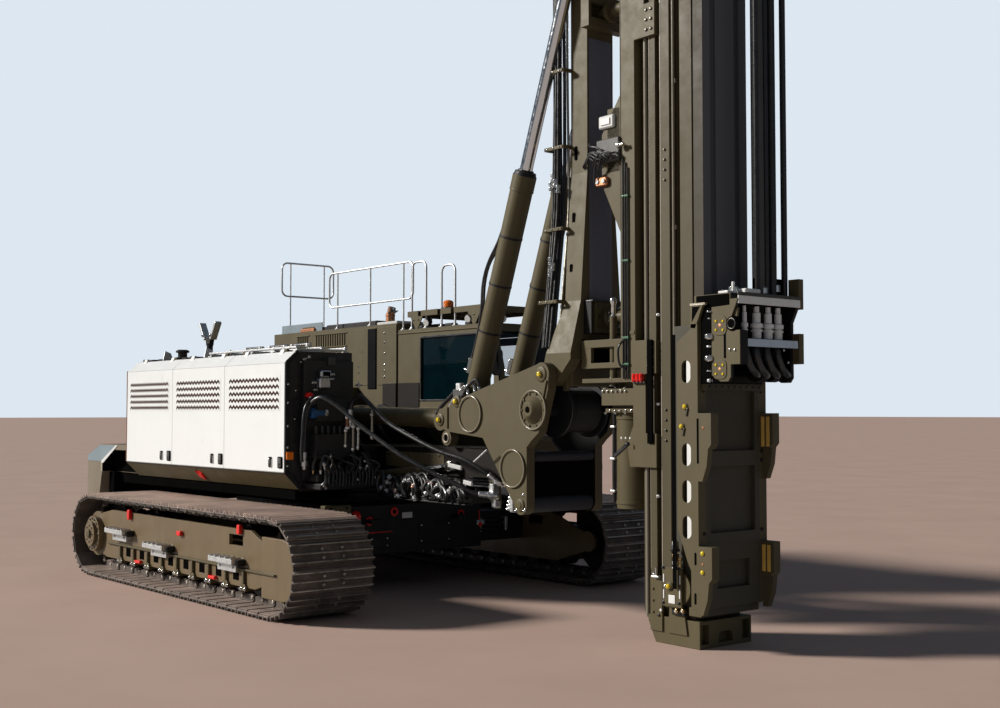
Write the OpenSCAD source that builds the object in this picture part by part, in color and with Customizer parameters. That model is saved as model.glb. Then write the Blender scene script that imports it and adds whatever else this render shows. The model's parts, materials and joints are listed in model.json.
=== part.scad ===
// Crawler-mounted pile driver rig with a telescopic leader, parked with its leader foot on the ground.
// Millimetres. X points to the front, Y to the machine's left, Z up.
// Lengths along X are measured from the slewing axis; slew_x puts the origin under the middle of the machine.

/* [Tracks] */
// Distance between the centre lines of the two tracks
gauge = 4000; // [3700:50:4300]
// Width of a track shoe
shoe_w = 900; // [700:50:1000]
// Distance from the sprocket's centre to the idler's centre
wheel_base = 4600; // [4200:50:5000]
// Height of a track from the ground to its top shoes
track_h = 1000; // [960:10:1060]
// Shoes on one track
shoe_count = 54; // [48:1:58]
// Height of a grouser bar above its shoe plate
grouser_h = 28; // [15:1:35]
// Thickness of a shoe plate
shoe_t = 20; // [12:1:26]
// Height of the shoe plate's underside above the chain's pins
link_h = 62; // [50:1:70]
// Bottom rollers on one track
roller_count = 9; // [6:1:10]
// Radius of a bottom roller
roller_r = 120; // [90:5:130]
// Width of a track's side frame
side_frame_w = 600; // [520:20:640]
// Height of the side frame's top edge
side_frame_top = 810; // [780:10:820]
// Length of a folding step
step_l = 520; // [400:20:600]

/* [Car body] */
// Length of the centre box between the tracks
car_l = 2500; // [2000:50:2900]
// Width of the centre box
car_w = 1900; // [1700:50:2300]
// Ground clearance under the centre box
car_z = 420; // [380:10:460]
// Height of the centre box's top
car_top = 960; // [900:10:980]
// Radius of the slewing ring
ring_r = 830; // [700:10:900]

/* [Upper frame] */
// Height of the slewing frame's underside
deck_z = 1180; // [1150:5:1220]
// Width of the upper machine
upper_w = 3200; // [3000:20:3400]
// Distance from the slewing axis to the rear end of the housings
rear_x = 3120; // [2950:10:3200]
// Distance between the inner faces of the two boom plates
boom_gap = 800; // [760:10:820]

/* [Counterweight] */
// Distance from the slewing axis to the counterweight's rear face
tail_x = 4550; // [4300:25:4800]
// Height of the counterweight's top
tail_top = 1560; // [1460:20:1700]
// Height of the counterweight's underside
tail_z = 800; // [760:10:900]

/* [Power pack] */
// Doors on the right side
door_count = 3; // [2:1:4]
// Length of the housing
pack_l = 4200; // [3900:50:4400]
// Width of the housing
pack_w = 850; // [750:10:900]
// Height of the housing's top
pack_top = 2660; // [2500:10:2800]
// Height of the doors' lower edge
door_z = 1340; // [1300:10:1400]
// Height at which the doors bend into the roof
door_bend_z = 2530; // [2400:10:2600]
// Thickness of a housing wall
wall_t = 40; // [25:1:60]
// Gap around a door
door_gap = 8; // [6:1:14]

/* [Hood] */
// Height of the hood behind the cab
hood_top = 3110; // [2900:10:3200]
// Distance from the slewing axis to the hood's front end
hood_front = 5; // [-100:5:10]
// Height of the handrails above the hood
rail_h = 800; // [600:20:1100]
// Radius of a handrail's tube
rail_r = 22; // [16:1:28]

/* [Cab] */
// Distance from the slewing axis to the cab's rear wall
cab_x = 25; // [20:5:150]
// Length of the cab
cab_l = 2000; // [1800:10:2100]
// Width of the cab
cab_w = 1000; // [900:10:1005]
// Height of the cab's roof
cab_top = 3020; // [2900:10:3080]
// Thickness of the cab's walls
cab_t = 60; // [40:1:80]
// Thickness of the glass
glass_t = 8; // [6:1:12]
// Gap around the cab door
cab_door_gap = 10; // [8:1:16]

/* [Boom] */
// Distance from the slewing axis to the boom's foot pin
foot_x = 950; // [850:10:1000]
// Height of the boom's foot pin
foot_z = 1500; // [1460:10:1540]
// Distance from the foot pin to the boom's head pin along X
arm_dx = 2660; // [2560:10:2760]
// Drop of the head pin below the foot pin
arm_drop = 50; // [0:10:80]
// Set-back of the parallel link's pins behind the boom's pins
link_back = 1200; // [1160:10:1240]
// Rise of the parallel link's pins above the boom's pins
link_up = 470; // [440:10:500]
// Thickness of a boom head plate
head_plate_t = 100; // [60:5:120]
// Outer radius of the luffing cylinders
luff_r = 52; // [44:1:54]

/* [Mast support] */
// Distance from the boom's head pin to the mast pin along X
mast_dx = 420; // [400:5:440]
// Rise of the mast pin above the boom's head pin
mast_dz = 910; // [890:5:930]
// Depth of the mast support along X
mast_d = 230; // [200:10:240]
// Width of the mast support above its taper
mast_w = 340; // [300:10:360]
// Height of the mast support's top
mast_top = 6900; // [6600:50:7200]
// Outer radius of a backstay barrel
stay_r = 122; // [90:2:125]
// Radius of a backstay rod
stay_rod_r = 65; // [50:1:75]

/* [Leader] */
// Distance from the slewing axis to the leader's rear face
leader_x = 5130; // [5100:10:5160]
// Width of the leader's box
leader_w = 460; // [440:10:470]
// Depth of the leader's box
leader_d = 430; // [400:10:440]
// Thickness of the leader's walls
leader_t = 22; // [14:1:30]
// Height of the outer leader's top
leader_top = 11400; // [9000:100:13000]
// Height of the leader's foot block
foot_h = 230; // [180:10:260]
// Height of the inner mast's top
inner_top = 12600; // [11000:100:14500]

/* [Sledge] */
// Height of the sledge's lower edge above the ground
sledge_z = 300; // [270:5:330]
// Length of the sledge
sledge_l = 2440; // [2300:20:2600]
// Width of the sledge over its side plates
sledge_w = 880; // [840:10:900]
// Thickness of the sledge's side plates
sledge_t = 30; // [20:1:34]
// Distance from the inner mast's front to the front of the coupling head
head_d = 496; // [460:2:520]

/* [Clearances] */
// Gap between pieces that seat on each other
seat_gap = 0.3; // [0.2:0.1:0.5]
// Radial clearance of a pin in its bore
pin_clear = 0.08; // [0.05:0.01:0.1]
// Gap between pieces that slide past each other
slide_gap = 6; // [5:0.5:8]
// Gap between a wear pad and the rail that it runs on
pad_gap = 0.5; // [0.3:0.1:1]
// Gap beside a lug that turns between two plates
lug_gap = 6; // [5:0.5:10]
// Play of a luffing rod's eye round its pin, because the cylinder follows the boom at a constant ratio
luff_play = 7; // [6.6:0.1:10]
// Play of a backstay rod's eye round its pin
stay_play = 10; // [9.5:0.1:14]

/* [Hidden] */
$fn = 48;
eps = 1;

olive = [0.30, 0.28, 0.22];
dark = [0.12, 0.12, 0.13];
white = [0.92, 0.93, 0.95];
steel = [0.75, 0.76, 0.78];
track_brown = [0.24, 0.21, 0.19];
galvanised = [0.70, 0.72, 0.74];
glass = [0.2, 0.35, 0.38, 0.4];

// The leader's section, the inner mast in front of it, and the coupling head in front of that
neck_x = leader_x + leader_d;
flange_x = neck_x + 80;
flange_d = 140;
flange_half = 290;
neck_half = 190;
flange_front = flange_x + flange_d;
inner_x = flange_front + 14;
inner_d = 110;
inner_half = 285;
sledge_top = sledge_z + sledge_l;
head_low = sledge_top - 500;
head_top = sledge_top + 240;
head_front = inner_x + inner_d + head_d;
slew_x = (tail_x - head_front) / 2;

// Places that several pieces share
half_gauge = gauge / 2;
axle_z = track_h / 2;
pitch_r = axle_z - grouser_h - shoe_t - link_h;
loop_l = 2 * wheel_base + 2 * PI * pitch_r;
pitch = loop_l / shoe_count;
rail_low = 34;
deck_t = 60;
half_upper = upper_w / 2;
pack_in = half_upper - pack_w;
pack_rear = rear_x;
pack_front = pack_l - pack_rear;
mast_x = foot_x + arm_dx + mast_dx;
mast_z = foot_z - arm_drop + mast_dz;
knee_x = foot_x + arm_dx;
knee_z = foot_z - arm_drop;
link_rear_x = foot_x - link_back;
link_rear_z = foot_z + link_up;
link_front_x = knee_x - link_back;
link_front_z = knee_z + link_up;
head_half = boom_gap / 2 + head_plate_t;

module at_slew() {
    translate([slew_x, 0, 0]) children();
}

// Extrudes an X-Z outline along Y, from y1 to y2
module side_profile(y1, y2) {
    translate([0, y2, 0]) rotate([90, 0, 0]) linear_extrude(y2 - y1) children();
}

// Extrudes a Y-Z outline along X, from x1 to x2
module front_profile(x1, x2) {
    translate([x1, 0, 0]) rotate([90, 0, 90]) linear_extrude(x2 - x1) children();
}

// Block between two corners
module block(low, high) {
    translate(low) cube(high - low);
}

// Cylinder along Y, from y1 to y2, about the point x, z
module y_rod(x, z, r, y1, y2) {
    translate([x, y2, z]) rotate([90, 0, 0]) cylinder(r = r, h = y2 - y1);
}

// Cylinder along X
module x_rod(y, z, r, x1, x2) {
    translate([x1, y, z]) rotate([0, 90, 0]) cylinder(r = r, h = x2 - x1);
}

module both_sides() {
    children();
    mirror([0, 1, 0]) children();
}

// A track's place: side is -1 on the right and 1 on the left
module at_track(side) {
    at_slew() translate([0, side * half_gauge, 0]) children();
}

// Track: the chain's pins follow two straight runs and two half circles
function loop_point(s) =
    let (arc_l = PI * pitch_r, half = wheel_base / 2)
    s < wheel_base ? [s - half, axle_z + pitch_r] :
    s < wheel_base + arc_l ?
        let (a = (s - wheel_base) / pitch_r * 180 / PI)
        [half + pitch_r * sin(a), axle_z + pitch_r * cos(a)] :
    s < 2 * wheel_base + arc_l ? [half - (s - wheel_base - arc_l), axle_z - pitch_r] :
        let (a = (s - 2 * wheel_base - arc_l) / pitch_r * 180 / PI)
        [-half - pitch_r * sin(a), axle_z - pitch_r * cos(a)];

function chain_pin(i) = loop_point((i % shoe_count) * pitch);

// A point at the share t along shoe i and at the height h above its pins
function on_shoe(i, t, h) =
    let (a = chain_pin(i), b = chain_pin(i + 1), d = b - a, l = norm(d), n = [-d[1], d[0]] / l)
    a + d * t + n * h;

plate_h = link_h + shoe_t;
tip_h = plate_h + grouser_h;
// Columns: share along the shoe, height above the pins
shoe_outline = [
    [0.02, plate_h], [0.09, tip_h], [0.16, plate_h],
    [0.42, plate_h], [0.49, tip_h], [0.56, plate_h],
    [0.82, plate_h], [0.89, tip_h], [0.96, plate_h]
];

module track_shoes(side) {
    outer = [for (i = [0 : shoe_count - 1]) for (p = shoe_outline) on_shoe(i, p[0], p[1])];
    inner = [for (i = [0 : shoe_count - 1]) on_shoe(i, 0.5, link_h)];
    rail_out = [for (i = [0 : 2 : shoe_count - 1]) on_shoe(i, 0.5, link_h + shoe_t / 2)];
    rail_in = [for (i = [0 : shoe_count - 1]) on_shoe(i, 0.5, -rail_low)];
    color(track_brown) at_track(side) {
        side_profile(-shoe_w / 2, shoe_w / 2) difference() {
            polygon(outer);
            polygon(inner);
        }
        for (y = [-150, 70])
            side_profile(y, y + 80) difference() {
                polygon(rail_out);
                polygon(rail_in);
            }
    }
}

roller_z = axle_z - pitch_r + rail_low + roller_r + 4;
roller_span = wheel_base - 1500;
frame_end = wheel_base / 2 + 60;
plate_in = side_frame_w / 2 - 40;

// Sprocket behind, idler in front, rollers below and two carrier rollers above
module track_wheels(side) {
    // The chain's rails are straight between shoes, so their corners stay clear of the idler's tread
    tread_r = (sqrt(pow(pitch_r, 2) - pow(pitch / 2, 2)) - rail_low) * cos(pitch / pitch_r * 90 / PI) - seat_gap;
    color(dark) at_track(side) {
        translate([-wheel_base / 2, 0, 0]) {
            side_profile(-50, 50) translate([0, axle_z]) difference() {
                circle(r = pitch_r + 20);
                for (k = [0 : 20])
                    rotate(k * 360 / 21) translate([pitch_r + 22, 0]) circle(r = 34, $fn = 24);
            }
            y_rod(0, axle_z, 210, -plate_in + seat_gap, plate_in - seat_gap);
        }
        translate([wheel_base / 2, 0, 0]) {
            y_rod(0, axle_z, tread_r, -150, 150);
            y_rod(0, axle_z, pitch_r + 15, -55, 55);
            y_rod(0, axle_z, 90, -plate_in + seat_gap, plate_in - seat_gap);
        }
        for (i = [0 : roller_count - 1]) {
            x = -roller_span / 2 + i * roller_span / (roller_count - 1);
            y_rod(x, roller_z, roller_r, -155, 155);
            y_rod(x, roller_z, 45, -plate_in + seat_gap, plate_in - seat_gap);
        }
        for (x = [-900, 1350]) {
            y_rod(x, axle_z + pitch_r - rail_low - 74, 70, -155, 155);
            y_rod(x, axle_z + pitch_r - rail_low - 74, 35, -plate_in + seat_gap, plate_in - seat_gap);
        }
    }
}

module frame_plate() {
    difference() {
        union() {
            polygon([
                [-frame_end - 60, 330], [-frame_end + 350, 235], [frame_end - 600, 235],
                [frame_end - 180, 360], [frame_end + 40, 430], [frame_end + 40, 570],
                [frame_end - 250, 640], [frame_end - 700, side_frame_top],
                [-frame_end + 500, side_frame_top], [-frame_end + 200, 760]
            ]);
            translate([-wheel_base / 2, axle_z]) circle(r = 270);
            translate([wheel_base / 2, axle_z]) circle(r = 120);
        }
        translate([1200, 640]) square([300, side_frame_top - 640 - 60]);
    }
}

module track_frame(side) {
    color(olive) at_track(side) {
        for (y = [-side_frame_w / 2, plate_in]) side_profile(y, y + 40) frame_plate();
        block([-roller_span / 2 - 150, -plate_in - eps, 440], [roller_span / 2 + 200, plate_in + eps, 620]);
        // Final drive cover, on the outside
        scale([1, side, 1]) {
            y_rod(-wheel_base / 2, axle_z, 215, side_frame_w / 2 - eps, side_frame_w / 2 + 70);
            y_rod(-wheel_base / 2, axle_z, 150, side_frame_w / 2 + 69, side_frame_w / 2 + 110);
        }
    }
}

// Columns: place along X, height
step_places = [[-1750, 560], [-650, 470], [1000, 470]];

module track_steps() {
    tread_y = half_gauge + side_frame_w / 2 + seat_gap;
    color(galvanised) at_slew() both_sides() for (p = step_places) {
        difference() {
            block([p[0], tread_y, p[1]], [p[0] + step_l, tread_y + 140, p[1] + 50]);
            for (k = [0 : 3])
                block([p[0] + 40 + k * (step_l - 60) / 4, tread_y + 30, p[1] - eps],
                      [p[0] + 40 + (k + 0.7) * (step_l - 60) / 4, tread_y + 115, p[1] + 51]);
        }
        block([p[0] + 60, tread_y, p[1] - 90], [p[0] + step_l - 60, tread_y + 60, p[1] + eps]);
    }
}

axle_w = 460;
// Lashing eyes: half their spacing, height, distance of the hole from the box, radius of the hole
eye_y = 600;
eye_z = 790;
eye_out = 70;
eye_r = 32;

module car_body() {
    inner_face = half_gauge - side_frame_w / 2 - seat_gap;
    color(dark) at_slew() {
        difference() {
            block([-car_l / 2, -car_w / 2, car_z], [car_l / 2, car_w / 2, car_top]);
            block([-car_l / 2 + 60, -car_w / 2 + 60, car_z - eps], [car_l / 2 - 60, car_w / 2 - 60, car_top - 60]);
        }
        for (x = [-car_l / 2 + 120, car_l / 2 - 120 - axle_w])
            difference() {
                block([x, -inner_face, car_z + 40], [x + axle_w, inner_face, side_frame_top]);
                block([x + 40, -inner_face - eps, car_z + 80],
                      [x + axle_w - 40, inner_face + eps, side_frame_top - 40]);
            }
        // Lashing eyes at the front and rear
        for (x = [-1, 1]) for (y = [-eye_y, eye_y])
            scale([x, 1, 1]) difference() {
                block([car_l / 2 - eps, y - 75, eye_z - 20], [car_l / 2 + eye_out + 65, y + 75, eye_z + 20]);
                translate([car_l / 2 + eye_out, y, eye_z - 30]) cylinder(r = eye_r, h = 60);
            }
    }
}

module slew_ring() {
    ring_z = car_top + seat_gap;
    color(dark) at_slew() difference() {
        union() {
            translate([0, 0, ring_z]) cylinder(r = ring_r, h = deck_z - 110 - ring_z);
            translate([0, 0, ring_z]) cylinder(r = ring_r - 90, h = deck_z - seat_gap - ring_z);
        }
        translate([0, 0, ring_z - eps]) cylinder(r = ring_r - 240, h = 400);
    }
}

// Slewing frame: deck, two long beams, and the bearings of the boom, the parallel link and the luffing cylinders
beam_y = head_half + 20;
beam_t = 60;
beam_out = beam_y + beam_t;
luff_y = head_half - 45;
luff_foot_x = foot_x + 230;
luff_foot_z = foot_z - 210;
luff_pin_r = 32;
foot_pin_r = 70;
link_pin_r = 42;
deck_top = deck_z + deck_t;

module upper_frame() {
    color(olive) at_slew() {
        difference() {
            union() {
                block([-rear_x, -pack_in + 10, deck_z], [pack_front, half_upper, deck_top]);
                intersection() {
                    translate([0, 0, deck_z]) cylinder(r = ring_r + 60, h = deck_t);
                    block([-ring_r - 100, -pack_in + 10, deck_z], [ring_r + 100, half_upper, deck_top]);
                }
            }
            translate([0, 0, deck_z - eps]) cylinder(r = 250, h = 200);
        }
        both_sides() {
            side_profile(beam_y, beam_out) difference() {
                union() {
                    polygon([
                        [-rear_x, deck_top - eps], [foot_x - 60, deck_top - eps], [foot_x - 20, deck_z], [luff_foot_x + 80, deck_z + 20],
                        [luff_foot_x + 80, luff_foot_z + 60], [foot_x + 140, foot_z + 40], [foot_x - 300, foot_z + 380],
                        [link_rear_x + 60, link_rear_z + 115], [link_rear_x - 130, link_rear_z],
                        [link_rear_x - 600, 1560], [-rear_x, 1560]
                    ]);
                    translate([foot_x, foot_z]) circle(r = 140);
                    translate([link_rear_x, link_rear_z]) circle(r = 130);
                }
                translate([foot_x, foot_z]) circle(r = foot_pin_r + pin_clear);
                translate([link_rear_x, link_rear_z]) circle(r = link_pin_r + pin_clear);
                for (x = [-2500, -1700]) translate([x, 1400]) circle(r = 90);
            }
            y_rod(luff_foot_x, luff_foot_z, luff_pin_r, luff_y - 45, beam_y + eps);
        }
        for (x = [-2900, -1300])
            block([x, -beam_y - eps, deck_top - eps], [x + 40, beam_y + eps, 1540]);
    }
}

module counterweight() {
    slope = 190;
    notch = 620;
    color(olive) at_slew() difference() {
        intersection() {
            side_profile(-half_upper, half_upper) polygon([
                [-rear_x - seat_gap, deck_z], [-rear_x - seat_gap, tail_top], [-tail_x + 530, tail_top],
                [-tail_x, tail_top - slope], [-tail_x, tail_z], [-tail_x + 500, tail_z], [-tail_x + 600, deck_z]
            ]);
            linear_extrude(4000) polygon([
                [-rear_x + 200, -half_upper], [-rear_x + 200, half_upper], [-tail_x + 90, half_upper],
                [-tail_x, half_upper - 90], [-tail_x, -half_upper + 90], [-tail_x + 90, -half_upper]
            ]);
        }
        // Recesses in front of the heavy rear block, under the cover plate
        both_sides()
            block([-tail_x + notch, half_upper - 180, deck_z - eps], [-rear_x + eps, half_upper + eps, tail_top - 70]);
    }
}

// Power pack: a long hollow housing on the right, its right side closed by the doors
pack_out = half_upper;
pack_low_z = deck_z - 20;
chamfer_in = 150;

function pack_outline(d) = [
    [-pack_in - d, pack_low_z + d], [-pack_in - d, pack_top - d], [-pack_out + chamfer_in, pack_top - d],
    [-pack_out + d, door_bend_z - 0.3 * d], [-pack_out + d, door_z], [-pack_out + d, door_z - d],
    [-pack_out + 180, pack_low_z + d]
];

module power_pack_housing() {
    color(olive) at_slew() difference() {
        front_profile(-pack_rear, pack_front) difference() {
            polygon(pack_outline(0));
            // Room for the doors in the right side
            polygon([
                [-pack_out - 50, door_z], [-pack_out + wall_t + seat_gap, door_z],
                [-pack_out + wall_t + seat_gap, door_bend_z - 10], [-pack_out + chamfer_in + 20, pack_top - wall_t],
                [-pack_out + chamfer_in, pack_top + 50], [-pack_out - 50, pack_top + 50]
            ]);
        }
        front_profile(-pack_rear + wall_t, pack_front - wall_t) polygon([
            [-pack_in - wall_t, pack_low_z + wall_t], [-pack_in - wall_t, pack_top - wall_t],
            [-pack_out + chamfer_in + 60, pack_top - wall_t], [-pack_out - 100, door_bend_z - 60],
            [-pack_out - 100, door_z], [-pack_out + wall_t + 20, door_z], [-pack_out + wall_t + 20, door_z - wall_t],
            [-pack_out + 180 + wall_t, pack_low_z + wall_t]
        ]);
    }
    // Hinge brackets on the roof's edge, each with a pin for the door's knuckle
    color(olive) at_slew() for (i = [0 : door_count - 1]) for (side = [-1, 1])
        translate([door_middle(i) + side * hinge_off, 0, 0]) mirror([side < 0 ? 1 : 0, 0, 0]) {
            front_profile(0, bracket_l) {
                translate([hinge_y, hinge_z]) circle(r = hinge_r);
                translate([hinge_y + 3, pack_top - eps]) square([40, hinge_r + 2]);
            }
            x_rod(hinge_y, hinge_z, hinge_pin_r, -knuckle_l + 4, eps);
        }
}

door_w = pack_l / door_count;
hinge_r = 16;
hinge_pin_r = 8;
hinge_y = -pack_out + chamfer_in - 2;
hinge_z = pack_top + hinge_r + 1;
knuckle_l = 80;
bracket_l = 60;
// Distance of a hinge from the middle of its door
hinge_off = 450;

function door_middle(i) = -pack_rear + (i + 0.5) * door_w;

// A door's slots: rows of short leaning slots in its upper part
module door_slots(w) {
    rows = 5;
    pitch_x = 92;
    cols = floor((w - 260) / pitch_x);
    for (r = [0 : rows - 1]) for (c = [0 : cols - 1])
        translate([(c + (r % 2) / 2 + 0.25) * pitch_x - cols * pitch_x / 2, 2060 + r * 62])
            polygon([[-30, -14], [10, -14], [30, 14], [-10, 14]]);
}

module power_pack_door(i) {
    x1 = -pack_rear + i * door_w + door_gap / 2;
    x2 = x1 + door_w - door_gap;
    color(white) at_slew() {
        difference() {
            front_profile(x1, x2) polygon([
                [-pack_out, door_z + door_gap], [-pack_out, door_bend_z],
                [-pack_out + chamfer_in - door_gap, pack_top], [-pack_out + chamfer_in - door_gap, pack_top - wall_t],
                [-pack_out + wall_t, door_bend_z - 10], [-pack_out + wall_t, door_z + door_gap]
            ]);
            translate([(x1 + x2) / 2, 0, 0])
                side_profile(-pack_out - eps, -pack_out + wall_t + eps) door_slots(x2 - x1);
        }
        // Two latches at the lower front corner
        for (x = [x2 - 330, x2 - 110])
            block([x, -pack_out - 12, door_z + 60], [x + 70, -pack_out + eps, door_z + 150]);
        for (side = [-1, 1])
            translate([door_middle(i) + side * hinge_off, 0, 0]) mirror([side < 0 ? 1 : 0, 0, 0]) difference() {
                front_profile(-knuckle_l, -2) {
                    translate([hinge_y, hinge_z]) circle(r = hinge_r);
                    polygon([
                        [hinge_y - 2, hinge_z + hinge_r], [hinge_y - hinge_r, hinge_z], [hinge_y - 36, pack_top - 30],
                        [hinge_y - 8, pack_top - 8], [hinge_y - 4, pack_top + 4], [hinge_y, hinge_z]
                    ]);
                }
                x_rod(hinge_y, hinge_z, hinge_pin_r + pin_clear, -knuckle_l - eps, 0);
            }
    }
}

engine_l = 0.5 * pack_l;

module engine_block() {
    x = -pack_rear + 0.1 * pack_l;
    color(dark) at_slew()
        block([x, -pack_out + 240, pack_low_z + wall_t + seat_gap],
              [x + engine_l, -pack_in - wall_t - 60, pack_low_z + 0.77 * (pack_top - pack_low_z)]);
}

// Valve block with its manifold on the housing's front wall
module hydraulic_block() {
    y1 = -pack_out + 200;
    y2 = -pack_in - 20;
    x1 = pack_front + seat_gap;
    color(dark) at_slew() {
        block([x1, y1, 1260], [x1 + 60, y2, 2560]);
        block([x1 + 59, y1 + 60, 1500], [x1 + 220, y2 - 60, 1760]);
        block([x1 + 59, y1 + 100, 1900], [x1 + 180, y2 - 120, 2150]);
        for (k = [0 : 5])
            translate([x1 + 140, y1 + 110 + k * 75, 1759]) cylinder(r = 24, h = 90);
    }
}

hood_y = half_upper - cab_w;
// Columns: first slot along X, slots, distance from slot to slot
louvre_fields = [[-2460, 6, 52], [-1960, 13, 60]];

// Hood behind the cab, with louvres on its right side, and the low cover over the middle
module hood() {
    low_top = 2320;
    color(olive) at_slew() difference() {
        union() {
            block([-rear_x, hood_y, deck_top + seat_gap], [hood_front, half_upper, hood_top]);
            block([-rear_x, -pack_in + 12, 1570], [link_rear_x - 640, hood_y + eps, low_top]);
        }
        block([-rear_x + wall_t, hood_y + wall_t, deck_top + wall_t],
              [hood_front - wall_t, half_upper - wall_t, hood_top - wall_t]);
        block([-rear_x + wall_t, -pack_in + 12 + wall_t, 1570 + wall_t],
              [link_rear_x - 640 - wall_t, hood_y - wall_t, low_top - wall_t]);
        for (f = louvre_fields) for (k = [0 : f[1] - 1])
            block([f[0] + k * f[2], hood_y - eps, hood_top - 230], [f[0] + k * f[2] + 30, hood_y + wall_t + eps, hood_top - 70]);
        for (k = [0 : 9]) for (x = [-2700, -1500])
            block([x, half_upper - wall_t - eps, 1700 + k * 100], [x + 900, half_upper + eps, 1740 + k * 100]);
    }
}

module exhaust() {
    color([0.45, 0.28, 0.2]) at_slew() translate([-330, hood_y + 120, 0]) {
        translate([0, 0, hood_top + seat_gap]) cylinder(r = 55, h = 130);
        translate([0, 0, hood_top + 120]) rotate([0, 20, 0]) cylinder(r = 50, h = 110);
    }
}

// Rounded loop of tube standing in the X-Z plane
module rail_loop(l, h, r) {
    bend = 90;
    for (x = [0, l]) translate([x, 0, 0]) cylinder(r = r, h = h - bend);
    for (k = [0, 1])
        translate([k * l, 0, h - bend]) scale([1 - 2 * k, 1, 1]) translate([bend, 0, 0])
            rotate([-90, 0, 0]) rotate_extrude(angle = 90) translate([-bend, 0]) circle(r = r);
    translate([bend, 0, h]) rotate([0, 90, 0]) cylinder(r = r, h = l - 2 * bend);
}

// Closed loop of tube with rounded corners
module closed_loop(l, h, r) {
    bend = 90;
    for (x = [0, l]) translate([x, 0, bend]) cylinder(r = r, h = h - 2 * bend);
    for (z = [0, h]) translate([bend, 0, z]) rotate([0, 90, 0]) cylinder(r = r, h = l - 2 * bend);
    for (i = [0, 1]) for (k = [0, 1])
        translate([i * l, 0, k * h]) scale([1 - 2 * i, 1, 2 * k - 1]) translate([bend, 0, -bend])
            rotate([-90, 0, 0]) rotate_extrude(angle = 90) translate([-bend, 0]) circle(r = r);
}

// Guard loops on the hood. Columns: rear end, front end, lower rail, upper rail, posts along X
guard_loops = [
    [-3090, -1880, 560, 1040, [-2900, -2060]],
    [-1690, -40, 300, 760, [-1480, -680, -80]]
];
// Hoops on the cab's roof. Columns: rear leg along X, front leg, top above the roof
roof_hoops = [[180, 480, 830], [880, 1150, 740]];

module handrails() {
    near = hood_y + 44;
    color(galvanised) at_slew() {
        for (y = [near, half_upper - 60]) for (g = guard_loops) {
            l = g[1] - g[0];
            h = g[3] - g[2];
            translate([g[0], y, hood_top + g[2]]) closed_loop(l, h, rail_r);
            for (x = g[4]) translate([x, y, hood_top + seat_gap]) cylinder(r = rail_r - 2, h = g[3] - seat_gap);
        }
        for (g = roof_hoops)
            translate([g[0], near, cab_top + seat_gap]) rail_loop(g[1] - g[0], g[2], rail_r);
    }
}

cab_z = deck_top + seat_gap;
cab_y1 = half_upper - cab_w;
cab_y2 = half_upper;
cab_front = cab_x + cab_l;
cab_door_x = cab_x + 480;
cab_door_l = 860;
cab_hinge_x = cab_door_x - 4;
cab_hinge_y = cab_y2 + hinge_r + 1;
cab_hinge_zs = [cab_z + 450, cab_top - 450];

function cab_outline(d) = [
    [cab_x + d, cab_z + d], [cab_x + d, cab_top - d], [cab_front - 160 - d / 2, cab_top - d],
    [cab_front - d, cab_top - 520], [cab_front - d, cab_z + 420], [cab_front - 150 - d / 2, cab_z + d]
];

module cab_shell() {
    color(olive) at_slew() difference() {
        side_profile(cab_y1, cab_y2) polygon(cab_outline(0));
        side_profile(cab_y1 + cab_t, cab_y2 - cab_t) polygon(cab_outline(cab_t));
        // Right side window
        block([cab_x + 480, cab_y1 - eps, cab_top - 880], [cab_front - 300, cab_y1 + cab_t + eps, cab_top - 110]);
        block([cab_front - 220, cab_y1 - eps, cab_top - 880], [cab_front - 90, cab_y1 + cab_t + eps, cab_top - 560]);
        // Windscreen, rear window and roof hatch
        block([cab_front - cab_t - 250, cab_y1 + 90, cab_z + 450], [cab_front + 50, cab_y2 - 90, cab_top - 90]);
        block([cab_x - eps, cab_y1 + 200, cab_top - 700], [cab_x + cab_t + eps, cab_y2 - 200, cab_top - 150]);
        // Door opening on the left
        block([cab_door_x, cab_y2 - cab_t - eps, cab_z + 130], [cab_door_x + cab_door_l, cab_y2 + eps, cab_top - 100]);
    }
    // Hinge brackets beside the door opening, each with a pin for the door's knuckle
    color(olive) at_slew() for (z = cab_hinge_zs) {
        linear_extrude_at(z - bracket_l, bracket_l) {
            translate([cab_hinge_x, cab_hinge_y]) circle(r = hinge_r);
            translate([cab_hinge_x - 44, cab_y2 - eps]) square([40, hinge_r + 10]);
            translate([cab_hinge_x - 10, cab_y2 + 6]) square([10, hinge_r]);
        }
        translate([cab_hinge_x, cab_hinge_y, z - eps]) cylinder(r = hinge_pin_r, h = knuckle_l - 3);
    }
}

module cab_door() {
    x1 = cab_door_x + cab_door_gap;
    x2 = cab_door_x + cab_door_l - cab_door_gap;
    color(olive) at_slew() {
        difference() {
            block([x1, cab_y2 - 45, cab_z + 130 + cab_door_gap], [x2, cab_y2, cab_top - 100 - cab_door_gap]);
            block([x1 + 80, cab_y2 - 60, cab_z + 800], [x2 - 80, cab_y2 + eps, cab_top - 200]);
            block([x1 + 80, cab_y2 - 60, cab_z + 230], [x2 - 80, cab_y2 + eps, cab_z + 700]);
        }
        block([x2 - 60, cab_y2 - eps, cab_z + 780], [x2 - 30, cab_y2 + 40, cab_z + 1000]);
        for (z = cab_hinge_zs) difference() {
            linear_extrude_at(z + 2, knuckle_l) {
                translate([cab_hinge_x, cab_hinge_y]) circle(r = hinge_r);
                translate([cab_hinge_x, cab_y2 + 8]) square([x1 + 50 - cab_hinge_x, 10]);
                translate([x1 + 6, cab_y2 - eps]) square([44, 12]);
            }
            translate([cab_hinge_x, cab_hinge_y, z]) cylinder(r = hinge_pin_r + pin_clear, h = 200);
        }
    }
}

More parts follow.
